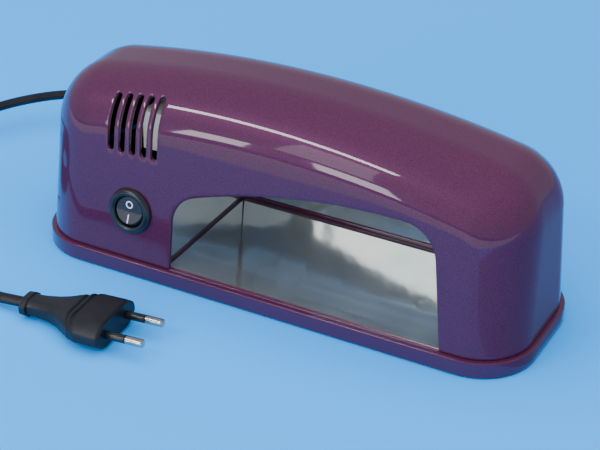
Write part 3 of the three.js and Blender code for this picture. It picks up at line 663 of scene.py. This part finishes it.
def carried(profile, centres, directions):
    """Each (inset, height) of the profile carried round the path: rows follow the profile."""
    profile = np.asarray(profile, float)
    flat = centres[None] + directions[None] * (BASE_CORNER - profile[:, 0])[:, None, None]
    height = np.broadcast_to(profile[:, 1, None, None], (*flat.shape[:2], 1))
    return np.concatenate([flat, height], axis=2)


centres, directions = base_path()
tray_profile = np.vstack([
    [[28.0, DECK_TOP]], rounded([[12, DECK_TOP], [0, DECK_TOP], [0, 0.6], [2.2, 0.6], [2.2, 6.2],
                                 [12, 6.2]], 0.8, 5), [[28.0, 6.2]]])
tray = capped(carried(tray_profile, centres, directions))
base = piece("base_tray", tray, purple_abs)
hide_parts("base_plate")

# %% Lip, sill and foot pads
lip_section = rounded([[5.8, 8.4], [6.75, 8.4], [6.75, LIP_TOP], [4.95, LIP_TOP], [4.95, 8.4],
                       [5.8, 8.4]], 0.5, 4)[:-1]
front_gap = (directions[:, 1] < -0.99) & (centres[:, 0] > -53.5) & (centres[:, 0] < 95)
start = np.argmax(np.roll(front_gap, 1) & ~front_gap)
along_lip = np.roll(np.arange(len(centres)), -start)[:int((~front_gap).sum())]
lip_grid = carried(lip_section, centres[along_lip], directions[along_lip]).transpose(1, 0, 2)
lip = piece("locating_lip", capped(lip_grid), purple_abs)

sill_turn = np.linspace(0, 2 * np.pi, 16, endpoint=False)
sill_x = np.linspace(-49.0, 91.0, 60)
sill_grid = np.stack(np.broadcast_arrays(
    sill_x[:, None], -40.9 + 0.75 * np.cos(sill_turn), DECK_TOP + 0.6 * np.sin(sill_turn)), axis=2)
sill = piece("opening_sill", capped(sill_grid), purple_abs)

pads = joined([lathe(rounded([[0, 7], [7.5, 7], [7.5, 2.1], [0, 2.1]], 0.4), [sx * 92, sy * 26, 0],
                     [0, 0, 1], 48) for sx in (-1, 1) for sy in (-1, 1)])
pad_piece = piece("foot_pads", pads, purple_abs)
for made in (lip, sill, pad_piece):
    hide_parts("base_plate")

# %% [markdown]
# ### Rubber
# The feet are stamped from black rubber sheet: almost no shine, and a fine dusty grain.

# %% Rubber feet
foot_rubber, tree, shader, coords, grain = mottled_material(
    "stamped_black_rubber", 1.2, "#141416", "#242427", (0.72, 0.9), IOR=1.52)
bumped(tree, shader, grain, 0.05, 0.7)

for place in ("front_left", "front_right", "rear_right", "rear_left"):
    node = f"foot_{place}"
    low, high = box_mm(node)
    middle = (low + high) / 2
    foot = piece(f"rubber_{node}", lathe(
        rounded([[0, 0], [6.5, 0], [6.5, 1.8], [0, 1.8]], 0.4), [middle[0], middle[1], 0],
        [0, 0, 1], 48), foot_rubber)
    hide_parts(node)

# %% [markdown]
# ## Mirror film and foil
# The chamber is lined with aluminised film, which bounces the ultraviolet light to the sides
# of the nails. Aluminium on plastic is a metal mirror with almost no roughness, and a haze of
# fine scratches that scatters some light: so it is a little less than fully metallic. What
# makes it look like film is its shape: on the floor it is stuck down and only ripples, while
# the foil behind and above was bent by hand and keeps shallow dents and a few creases. These
# could all be bump patterns, but real waves in the mesh bend the reflections properly from
# every side.

# %% Film and foil
mirror_film, tree, shader, coords, _ = mottled_material(
    "aluminised_mirror_film", 30, "#d3d9da", "#e2e6e5", (0.03, 0.09), Metallic=0.9)
ripple = add_node(tree, "TexNoise", {"Vector": coords, "Scale": 1 / (11 * MM), "Detail": 0.5})
bumped(tree, shader, ripple.outputs["Fac"], 0.14, 0.35)

dented_foil, tree, shader, coords, _ = mottled_material(
    "dented_aluminium_foil", 24, "#cdd5d2", "#e3e6dd", (0.06, 0.14), Metallic=0.8)
folds = add_node(tree, "TexVoronoi", {"Vector": coords, "Scale": 1 / (7 * MM)}, feature="F1")
bumped(tree, shader, folds.outputs["Distance"], 0.3, 0.06)


def crumple(u, v, size, depth, folds_count, seed):
    """Folds in many directions: each is a triangle wave of |fraction - 1/2| along its own line."""
    chance = np.random.default_rng(seed)
    turn = chance.uniform(0, np.pi, folds_count)
    pitch = size * chance.uniform(0.6, 2.2, folds_count)
    shift = chance.uniform(0, 1, folds_count)
    phase = (u[..., None] * np.cos(turn) + v[..., None] * np.sin(turn)) / pitch + shift
    waves = np.abs(phase % 1 - 0.5) * 2 - 0.5
    return depth * (waves * pitch / size).sum(axis=-1) / folds_count


def slab(grid, thickness):
    """A sheet (rows, columns, 3) and its copy moved by a thickness, sewn up round the edge."""
    rows, columns = grid.shape[:2]
    top = grid.reshape(-1, 3)
    under = (grid + thickness).reshape(-1, 3)
    number = np.arange(rows * columns).reshape(rows, columns)
    rim = np.concatenate([number[0, :-1], number[:-1, -1], number[-1, :0:-1], number[:0:-1, 0]])
    after = np.roll(rim, -1)
    sheet = grid_faces(rows, columns, ring=False)
    hem = np.column_stack([rim, after, after + rows * columns, rim + rows * columns]).tolist()
    flipped = [[corner + rows * columns for corner in face[::-1]] for face in sheet]
    return np.concatenate([top, under]), sheet + flipped + hem


# %% Floor film and reflector foil
low, high = box_mm("floor_mirror")
FILM_GAP = 1.3
CALM_RIM = 6.0
left = low[0] + FILM_GAP
x, y = np.meshgrid(np.linspace(left, high[0], 180), np.linspace(low[1], high[1], 96))
inset = np.minimum.reduce([x - left, high[0] - x, y - low[1], high[1] - y])
calm = np.clip(inset / CALM_RIM, 0, 1)
swell = 0.07 * np.sin(x / 13 + y / 31) + 0.05 * np.sin(y / 9 - x / 47)
wrinkle = 0.16 * np.exp(-((x + 2 + y * 0.25) / 9) ** 2) * np.sin((x * 0.9 + y * 0.35) / 1.9)
z = high[2] - 0.13 + calm * (swell + wrinkle) * 0.55
film = piece("floor_film", slab(np.stack([x, y, z], axis=2), np.array([0, 0, low[2] - high[2]])),
             mirror_film, crease=60)
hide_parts("floor_mirror")

low, high = box_mm("reflector")
BEND, FRONT_BEND_SHARE = 22.0, 1.74
FOIL_FOOT, FOIL_TOP = 11.7, 80.0
NOTCH_FROM, NOTCH_SLOPE, NOTCH_DEPTH, NOTCH_RUN = 35.4, 0.8, 1.0, 60.0
FOIL_THICK, NEAREST, FURTHEST = 0.15, 0.05, 1.0
foot_y = high[1]
wall_y = foot_y - (FOIL_TOP - BEND - FOIL_FOOT) * FACE_LEAN - BEND
turn = np.linspace(0, np.pi / 2, 22)
back_bend = np.column_stack([wall_y + BEND * np.cos(turn), FOIL_TOP - BEND + BEND * np.sin(turn)])
turn = np.linspace(np.pi / 2, np.pi / 2 * FRONT_BEND_SHARE, 18)
front_bend = np.column_stack([-wall_y + BEND * np.cos(turn), FOIL_TOP - BEND + BEND * np.sin(turn)])
riser = np.linspace([foot_y, FOIL_FOOT], back_bend[0], 30)[:-1]
across = np.linspace(back_bend[-1], front_bend[0], 12)[1:-1]
bent = np.vstack([riser, back_bend, across, front_bend])
run = np.r_[0, np.cumsum(np.linalg.norm(np.diff(bent, axis=0), axis=1))]
share, run_grid = np.meshgrid(np.linspace(0, 1, 200), run)
height = np.broadcast_to(bent[:, 1, None], share.shape)
notch = NOTCH_DEPTH * np.clip((height - NOTCH_FROM) / NOTCH_SLOPE, 0, 1)
left = low[0] + notch * (run_grid < NOTCH_RUN)
x = left + (high[0] - left) * share
slope = np.gradient(bent, axis=0)
slope /= np.linalg.norm(slope, axis=1)[:, None]
inward = np.column_stack([-slope[:, 1], slope[:, 0]])
push = 0.4 + crumple(x, run_grid, 30, 0.28, 7, seed=7) + crumple(x, run_grid, 6, 0.03, 7, seed=3)
push = np.clip(push, NEAREST, FURTHEST)
grid = np.stack([x, bent[:, 0, None] + inward[:, 0, None] * push,
                 bent[:, 1, None] + inward[:, 1, None] * push], axis=2)
backing = np.concatenate([np.zeros((len(bent), 1)), -inward * FOIL_THICK], axis=1)[:, None, :]
foil = piece("reflector_foil", slab(grid, backing), dented_foil, crease=24)
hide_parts("reflector")

# %% [markdown]
# ## Carried-over parts
# Parts whose CAD shape is already right keep it and only get a finish: side films, white
# bulkheads and holder, the choke and its wires. A list of names shares each finish.

# %% Finishes for the parts inside
def dress(material, *names):
    """Give CAD nodes a finish."""
    for name in names:
        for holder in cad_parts[name].material_slots:
            holder.material = material


white_pp, tree, shader, coords, _ = mottled_material(
    "white_moulded_polypropylene", 14, "#dcdad3", "#e8e6e0", (0.4, 0.55), IOR=1.49)
grain = add_node(tree, "TexNoise", {"Vector": coords, "Scale": 1 / (0.4 * MM)})
bumped(tree, shader, grain.outputs["Fac"], 0.02, 0.5)
dress(white_pp, "left_bulkhead", "right_bulkhead", "tube_base", "lamp_holder", "terminal_block")
dress(mirror_film, "left_mirror", "right_mirror")

zinc_steel, tree, shader, coords, _ = mottled_material(
    "zinc_plated_steel", 3, "#a6a8a8", "#c3c5c4", (0.26, 0.42), Metallic=1.0)
stretched = add_node(tree, "Mapping", {"Vector": coords, "Scale": (1, 12, 1)})
brush = add_node(tree, "TexNoise", {"Vector": stretched.outputs["Vector"], "Scale": 1 / (3 * MM)})
bumped(tree, shader, brush.outputs["Fac"], 0.02, 0.4)
dress(zinc_steel, "choke_bracket", "tube_clip", "screw_front_left", "screw_front_right",
      "screw_rear_left", "screw_rear_right")

brass = mottled_material("stamped_brass", 2, "#b3903f", "#caa95a", (0.25, 0.4), Metallic=1.0)[0]
dress(brass, "switch_tab_lower", "switch_tab_upper", "tube_pin_front", "tube_pin_rear")

laminated_iron, tree, shader, coords = new_material("laminated_iron_core", Metallic=0.7)
sheets = add_node(tree, "TexWave", {"Vector": coords, "Scale": 0.314 / (1.0 * MM),
                                    "Distortion": 0.2}, bands_direction="Y")
ramp = add_node(tree, "ValToRGB", {"Fac": sheets.outputs["Fac"]})
ramp.color_ramp.elements[0].color = linear("#25272a")
ramp.color_ramp.elements[1].color = linear("#5a5d60")
tree.links.new(ramp.outputs["Color"], shader.inputs["Base Color"])
roughness_between(tree, shader, sheets.outputs["Fac"], 0.7, 0.45)
bumped(tree, shader, sheets.outputs["Fac"], 0.1, 0.6)
dress(laminated_iron, "choke_core")

winding_tape, tree, shader, coords, _ = mottled_material(
    "polyester_winding_tape", 6, "#b8932c", "#d8b548", (0.25, 0.4), IOR=1.57)
laps = add_node(tree, "TexWave", {"Vector": coords, "Scale": 0.314 / (5 * MM)},
                bands_direction="Z", wave_profile="SAW")
bumped(tree, shader, laps.outputs["Fac"], 0.08, 0.7)
dress(winding_tape, "choke_winding")

for name, dark, light, wires in (
        ("brown_wire_pvc", "#3f2413", "#573420", ("wire_terminal_to_switch",
         "wire_switch_to_choke", "wire_choke_to_holder")),
        ("blue_wire_pvc", "#1f3f86", "#2c52a3", ("wire_holder_to_terminal",))):
    wire_pvc = mottled_material(name, 5, dark, light, (0.35, 0.5), IOR=1.53)[0]
    dress(wire_pvc, *wires)
dress(black_pvc, "cord_tail")

# %% [markdown]
# ## The ultraviolet tube
# The lamp is a compact twin tube: two glass fingers, coated inside with a pale phosphor, with
# a short bridge near their tips. Switched off, it is milky white glass with a sharp gloss.

# %% Twin tube
phosphor_glass = mottled_material(
    "phosphor_coated_glass", 20, "#dfe1ee", "#eef0f7", Roughness=0.08, IOR=1.5, Coat_Weight=0.6,
    Coat_Roughness=0.03)[0]
low, high = box_mm("uv_tube")
radius = (high[2] - low[2]) / 2
turn = np.linspace(0, np.pi / 2, 14)
finger = np.vstack([[[0, 0], [radius - 0.3, 0], [radius, 0.3]], np.column_stack(
    [radius * np.cos(turn), high[0] - low[0] - radius * (1 - np.sin(turn))])])
legs = [lathe(finger, [low[0], side * 7.2, 66], [1, 0, 0], 40) for side in (-1, 1)]
bridge = lathe(rounded([[0, -5.2], [3, -5.2], [3, 5.2], [0, 5.2]], 0.3), [high[0] - 9, 0, 66],
               [0, 1, 0], 24)
twin_tube = piece("twin_tube", joined([*legs, bridge]), phosphor_glass)
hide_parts("uv_tube")

# %% [markdown]
# ## The rocker switch
# A round panel switch: a domed bezel of glossy black plastic, and in its well a rocker whose
# two flat halves meet in a shallow valley. The bezel is a profile turned about its axis. The
# rocker's front is a disc whose height changes only up and down, and its flanks are part of
# a sphere round the pivot, so that it can swing without touching the bezel.

# %% Switch
LEAN = np.radians(6)
INTO = np.array([0, np.cos(LEAN), -np.sin(LEAN)])
UPWARD = np.array([0, np.sin(LEAN), np.cos(LEAN)])
switch_centre = np.array([SWITCH_X, -(HALF_WIDTH - FACE_LEAN * (SWITCH_Z - FOOT_Z)), SWITCH_Z])
pivot = switch_centre + 3.2 * INTO

gloss_black, tree, shader, coords, cloud = mottled_material(
    "glossy_black_nylon", 4, "#101214", "#1b1e20", Roughness=0.28, IOR=1.53, Coat_Weight=0.15,
    Coat_Roughness=0.06)
bumped(tree, shader, cloud, 0.03, 0.3)

satin_black, tree, shader, coords, cloud = mottled_material(
    "satin_grey_nylon", 3, "#1c1e24", "#25282f", (0.32, 0.45), IOR=1.53)
bumped(tree, shader, cloud, 0.02, 0.5)

bezel_profile = rounded([
    [0, 14], [9.8, 14], [9.8, -0.3], [11.5, -0.3], [11.5, -0.8], [11.0, -1.8], [10.2, -2.4],
    [9.2, -2.6], [8.3, -2.3], [7.85, -1.7], [7.85, -0.9], [8.9, 0.4], [8.9, 12.6], [0, 12.6]], 0.6)
bezel = piece("switch_bezel", lathe(bezel_profile, switch_centre, INTO, 96), gloss_black)
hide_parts("switch_body")

SWING = 8.45
THROW = np.radians(16)
THROW_SLOPE = np.tan(THROW)
angle = np.linspace(0, 2 * np.pi, 96, endpoint=False)


def face_height(z):
    """The rocker's front, in the pivot's frame: flat above, falling outward below."""
    return -4.5 - THROW_SLOPE * np.sqrt(np.minimum(z, 0) ** 2 + 0.01)


rim_radius = np.full(len(angle), 7.0)
for _ in range(60):
    rim_radius = np.sqrt(SWING ** 2 - face_height(rim_radius * np.sin(angle)) ** 2)
face_share = np.linspace(0, 1, 24)[:, None]
face_x = face_share * rim_radius * np.cos(angle)
face_z = face_share * rim_radius * np.sin(angle)
face = np.stack([face_x, face_height(face_z), face_z], axis=2)
rim_polar = np.arctan2(rim_radius, -face_height(rim_radius * np.sin(angle)))
tail_polar = np.pi - np.arccos(5 / SWING)
polar = rim_polar + (tail_polar - rim_polar) * np.linspace(0, 1, 20)[1:, None]
flank = SWING * np.stack([np.sin(polar) * np.cos(angle), -np.cos(polar),
                          np.sin(polar) * np.sin(angle)], axis=2)
tail = flank[-1:] * [0, 1, 0]
local = np.concatenate([face, flank, tail])
across_x = np.array([1.0, 0, 0])
frame_axes = np.array([across_x, INTO, UPWARD])
rocker_grid = pivot + local @ frame_axes
rocker_shape = (rocker_grid.reshape(-1, 3), grid_faces(*rocker_grid.shape[:2]))
rocker = piece("rocker_button", rocker_shape, satin_black, body="rocker")
add_modifier(rocker, "edges", "BEVEL", width=0.3 * MM, segments=3, limit_method="ANGLE",
             angle_limit=np.radians(38))
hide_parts("switch_rocker")

# %% Marks for off and on
white_ink = mottled_material("white_pad_print", 0.6, "#b9bcd2", "#d5d7e6", Roughness=0.5)[0]
lower_in = np.cos(THROW) * INTO - np.sin(THROW) * UPWARD
lower_up = np.cos(THROW) * UPWARD + np.sin(THROW) * INTO
off_mark = lathe(rounded([[1.6, -0.04], [1.95, -0.04], [1.95, 0.1], [1.25, 0.1], [1.25, -0.04],
                          [1.6, -0.04]], 0.03, 2)[:-1], pivot + UPWARD * 3.5 - INTO * 4.5,
                 INTO, 48)
off_shape = closed(off_mark[0].reshape(-1, 48, 3))
bar_turn = np.linspace(0, 2 * np.pi, 16, endpoint=False)
bar_place = pivot - UPWARD * 3.5 + INTO * face_height(-3.5)
bar_flat = (np.cos(bar_turn)[:, None] * across_x * 0.3
            + (np.sign(np.sin(bar_turn)) * 1.9 + np.sin(bar_turn) * 0.3)[:, None] * lower_up)
bar_grid = bar_place + bar_flat[None] + np.array([-0.04, 0.1])[:, None, None] * lower_in
marks = piece("switch_marks", joined([off_shape, capped(bar_grid)]), white_ink,
              body="rocker")

# %% [markdown]
# ## Strain relief and tie
# Where the cord leaves the back wall it passes through a soft tapered sleeve with grooves
# that let it bend gently. A strap with rounded edges holds the coil together.

# %% Bushing and tie
low, high = box_mm("cord_bushing")
flange = 41.79
along_sleeve = np.linspace(flange + 3, high[1], 90)
taper = 4.6 - 1.5 * (along_sleeve - flange - 3) / (high[1] - flange - 3)
rings_share = (along_sleeve - flange - 5) % 2.6 < 0.9
groove = 0.45 * rings_share * (along_sleeve > flange + 5) * (along_sleeve < high[1] - 1.6)
bushing_profile = np.vstack([
    rounded([[0, low[1]], [6, low[1]], [6, 37.6], [4.4, 37.6], [4.4, flange], [6.5, flange],
             [6.5, flange + 1.6], [4.7, flange + 3]], 0.4),
    np.column_stack([taper - groove, along_sleeve]), [[0, high[1]]]])
bushing_shape = lathe(bushing_profile, [GLAND_X, 0, GLAND_Z], [0, 1, 0], 48)
bushing = piece("strain_relief", bushing_shape, black_pvc)
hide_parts("cord_bushing")

corner_turn = np.linspace(0, 2 * np.pi, 48, endpoint=False)
strap_out = np.array([np.cos(COIL_TIE), np.sin(COIL_TIE), 0])
strap_side = np.array([-strap_out[1], strap_out[0], 0])
half_out, half_up = 6.3, 5.95
loop_out, loop_up = squared_circle(corner_turn, 0.35)
strap_turn = np.linspace(0, 2 * np.pi, 16, endpoint=False)
strap_wide = 3.0 * squared_circle(strap_turn, 0.4)[0]
strap_deep = 0.4 * np.sin(strap_turn)
middle = np.array([COIL_X, COIL_Y, 6.5]) + strap_out * 29.0
grown = 1 + strap_deep[None, :, None] / half_up
strap_grid = (middle + grown * (loop_out[:, None, None] * half_out * strap_out
                                + loop_up[:, None, None] * half_up * np.array([0, 0, 1.0]))
              + strap_wide[None, :, None] * strap_side)
tie = piece("coil_tie", closed(strap_grid), black_pvc, crease=60)
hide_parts("cord_tie")

# %% [markdown]
# ## The plug
# A flat two-pin plug moulded on to the cord. Its section is a rectangle with cut corners
# that swells from a narrow neck to the wide face, with a collar at the tail and two grip
# grooves across it. Each station along it gives a width, a height and a corner cut, and
# smooth curves between the stations fill in the rest.

# %% Plug body
PLUG = np.array([-46.2, -92.5, 7.75])
turn_z, tilt = np.radians([2.7, 2.6])
PLUG_AXES = np.array([
    [np.cos(tilt) * np.cos(turn_z), np.cos(tilt) * np.sin(turn_z), np.sin(tilt)],
    [-np.sin(turn_z), np.cos(turn_z), 0],
    [-np.sin(tilt) * np.cos(turn_z), -np.sin(tilt) * np.sin(turn_z), np.cos(tilt)]])
stations = np.array([
    [0, 33.4, 11.8, 4.4], [0.9, 35.1, 13.4, 4.6], [1.6, 35.3, 13.7, 4.6], [13, 34.6, 13.7, 4.4],
    [17.5, 31, 13.6, 4], [22, 24.8, 13, 3.6], [27, 18, 11.8, 3], [32, 14, 10.4, 2.4],
    [38, 12, 9.2, 2.2], [42, 11.6, 8.7, 2.2], [44.4, 12, 8.7, 2.3], [44.9, 14.8, 9.8, 3.0],
    [47.9, 14.4, 9.4, 3.0], [48.6, 12.8, 8.2, 2.8], [49, 8.5, 6.6, 2.4]])
GROOVES, GROOVE_WIDTH, GROOVE_DEPTH = np.array([16.2, 19.4]), 1.3, 0.8

behind = np.unique(np.concatenate([stations[:, 0], np.linspace(0, 49, 160)]))
fine = np.linspace(0, 49, 981)
width, height, corner = (np.interp(fine, stations[:, 0], column) for column in stations.T[1:])
smoothing = np.hanning(41) / np.hanning(41).sum()
body_part = (fine > 3) & (fine < 43)
width, height, corner = (
    np.where(body_part, np.convolve(np.pad(row, 20, mode="edge"), smoothing, "valid"), row)
    for row in (width, height, corner))
width, height, corner = (np.interp(behind, fine, row) for row in (width, height, corner))
near_groove = np.abs(behind[:, None] - GROOVES).min(axis=1)
height = height - 2 * GROOVE_DEPTH * np.clip(1.6 - near_groove / (GROOVE_WIDTH / 2), 0, 1)


def cut_corner_section(width, height, corner, round_off=0.14):
    """Eight corners of a rectangle with cut corners, each softened by a three-point curve."""
    w, h, c = width / 2, height / 2, corner
    y = np.stack([w, w - c * 1.3, -w + c * 1.3, -w, -w, -w + c * 1.3, w - c * 1.3, w], axis=1)
    z = np.stack([h - c, h, h, h - c, -h + c, -h, -h, -h + c], axis=1)
    loop = np.stack([y, z], axis=2)
    before, after = np.roll(loop, 1, axis=1), np.roll(loop, -1, axis=1)
    start = loop + (before - loop) * round_off
    end = loop + (after - loop) * round_off
    middle = (start + end) / 4 + loop / 2
    return np.stack([start, middle, end], axis=2).reshape(len(width), -1, 2)


section = cut_corner_section(width, height, corner)
distance = np.broadcast_to(-behind[:, None, None], (*section.shape[:2], 1))
plug_grid = PLUG + np.concatenate([distance, section], axis=2) @ PLUG_AXES
plug_body = piece("plug_moulding", capped(plug_grid), black_pvc, crease=28)
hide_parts("plug_body")

# %% [markdown]
# The pins are nickel plated brass: a warm grey metal with a clean round tip. The half next
# to the body is sleeved, so that a half-inserted plug shows no live metal.

# %% Plug pins
nickel = mottled_material(
    "nickel_plated_brass", 2.5, "#bdb9b0", "#d6d3cb", (0.16, 0.28), Metallic=1.0)[0]

for place, offset in (("front", -9.3), ("rear", 9.3)):
    root = PLUG + PLUG_AXES[1] * offset
    metal = lathe(rounded([[0, 0.3], [1.3, 0.3], [1.3, 10.3], [2, 10.3], [2, 19.2], [0, 19.2]],
                          0.9, 5), root, PLUG_AXES[0], 36)
    pin = piece(f"pin_{place}", metal, nickel)
    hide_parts(f"plug_pin_{place}")
    ring = rounded([[1.8, 0.3], [2, 0.3], [2, 10], [1.6, 10], [1.6, 0.3], [1.8, 0.3]], 0.1, 2)
    sleeve = piece(f"sleeve_{place}", lathe(ring, root, PLUG_AXES[0], 36), gloss_black)
    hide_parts(f"pin_sleeve_{place}")

# %% [markdown]

# %% [markdown]
# ## Floor and light
# The lamp stands on a plain blue surface. On a glossy shell a light is seen as much as felt, so
# the two large lights are hidden from reflections, and only a ceiling tube and three windows
# show in the skin and the mirrors. Level cards that nothing but reflections can see stand for
# what lies round a lamp on its table: the floor near by in a darker blue, which is painted shade
# on the floor, then a grey bench, and the dark room beyond it.

# %% Floor and lights
floor_paper, tree, shader, coords = new_material(
    "matt_blue_paper", Roughness=0.9, Specular_IOR_Level=0.2)
shader.inputs["Base Color"].default_value = linear("#149cf8")
floor_mesh = bpy.data.meshes.new("floor")
floor_mesh.from_pydata([(-3, -3, 0), (3, -3, 0), (3, 3, 0), (-3, 3, 0)], [], [(0, 1, 2, 3)])
floor_mesh.materials.append(floor_paper)
floor_piece = bpy.data.objects.new("floor", floor_mesh)
bpy.context.scene.collection.objects.link(floor_piece)

world = bpy.data.worlds.new("room")
bpy.context.scene.world = world
world.use_nodes = True
world.node_tree.nodes["Background"].inputs["Color"].default_value = linear("#cccddb")
world.node_tree.nodes["Background"].inputs["Strength"].default_value = 0.7


def panel(name, place, target, width, height, watts, colour="#ffffff"):
    """A rectangular soft light at a place, facing a target."""
    light = bpy.data.lights.new(name, "AREA")
    light.shape = "RECTANGLE"
    light.size, light.size_y = width, height
    light.energy = watts
    light.color = linear(colour)[:3]
    made = bpy.data.objects.new(name, light)
    made.location = place
    aim = mathutils.Vector(target) - mathutils.Vector(place)
    made.rotation_euler = aim.to_track_quat("-Z", "Y").to_euler()
    bpy.context.scene.collection.objects.link(made)
    return made


def card(name, low, high, colour):
    """A card from a low to a high corner, level or upright, that only reflections see."""
    paper, tree, shader, coords = new_material(f"{name}_paper", Roughness=0.9)
    shader.inputs["Base Color"].default_value = linear(colour)
    (x0, y0, z0), (x1, y1, z1) = low, high
    mesh = bpy.data.meshes.new(name)
    mesh.from_pydata([(x0, y0, z0), (x1, y0, z0), (x1, y1, z1), (x0, y1, z1)], [], [(0, 1, 2, 3)])
    mesh.materials.append(paper)
    made = bpy.data.objects.new(name, mesh)
    bpy.context.scene.collection.objects.link(made)
    made.visible_camera = False
    made.visible_diffuse = False
    made.visible_shadow = False


# painted shade: these two floor cards are the blue floor darkened, right of the lamp and in front of
# it, as reflections see it
card("shaded_floor_right", (0.129, -0.2, 0.001), (1.8, 1.8, 0.001), "#4468a0")
card("shaded_floor_front", (-0.9, -0.23, 0.001), (0.129, -0.055, 0.001), "#3f8cd0")
card("grey_bench", (-1.8, -0.6, 0.001), (1.8, -0.23, 0.001), "#babec6")
card("dark_bench", (-2.5, -2.5, 0.001), (1.8, -0.6, 0.001), "#332a3a")
ceiling = panel("ceiling_panel", (0, -0.9, 2.6), (0, -0.9, 0), 6.0, 5.0, 250)
ceiling.visible_glossy = False
fill = panel("front_fill", (0.3, -2.9, 1.3), (0, 0, 0.05), 3.0, 1.4, 50)
fill.visible_glossy = False
panel("high_window", (-0.74, -2.0, 0.9), (0, 0, 0.05), 0.3, 0.8, 1.7)
panel("ceiling_tube", (-0.6, -1.03, 1.0), (0.0, 0.0, 0.08), 0.72, 0.09, 5)
panel("left_window", (-1.06, -2.0, 0.27), (0, 0, 0.08), 0.18, 0.36, 2.2)
panel("right_window", (-0.66, -2.0, 0.2), (0, 0, 0.08), 0.2, 0.36, 2.4)
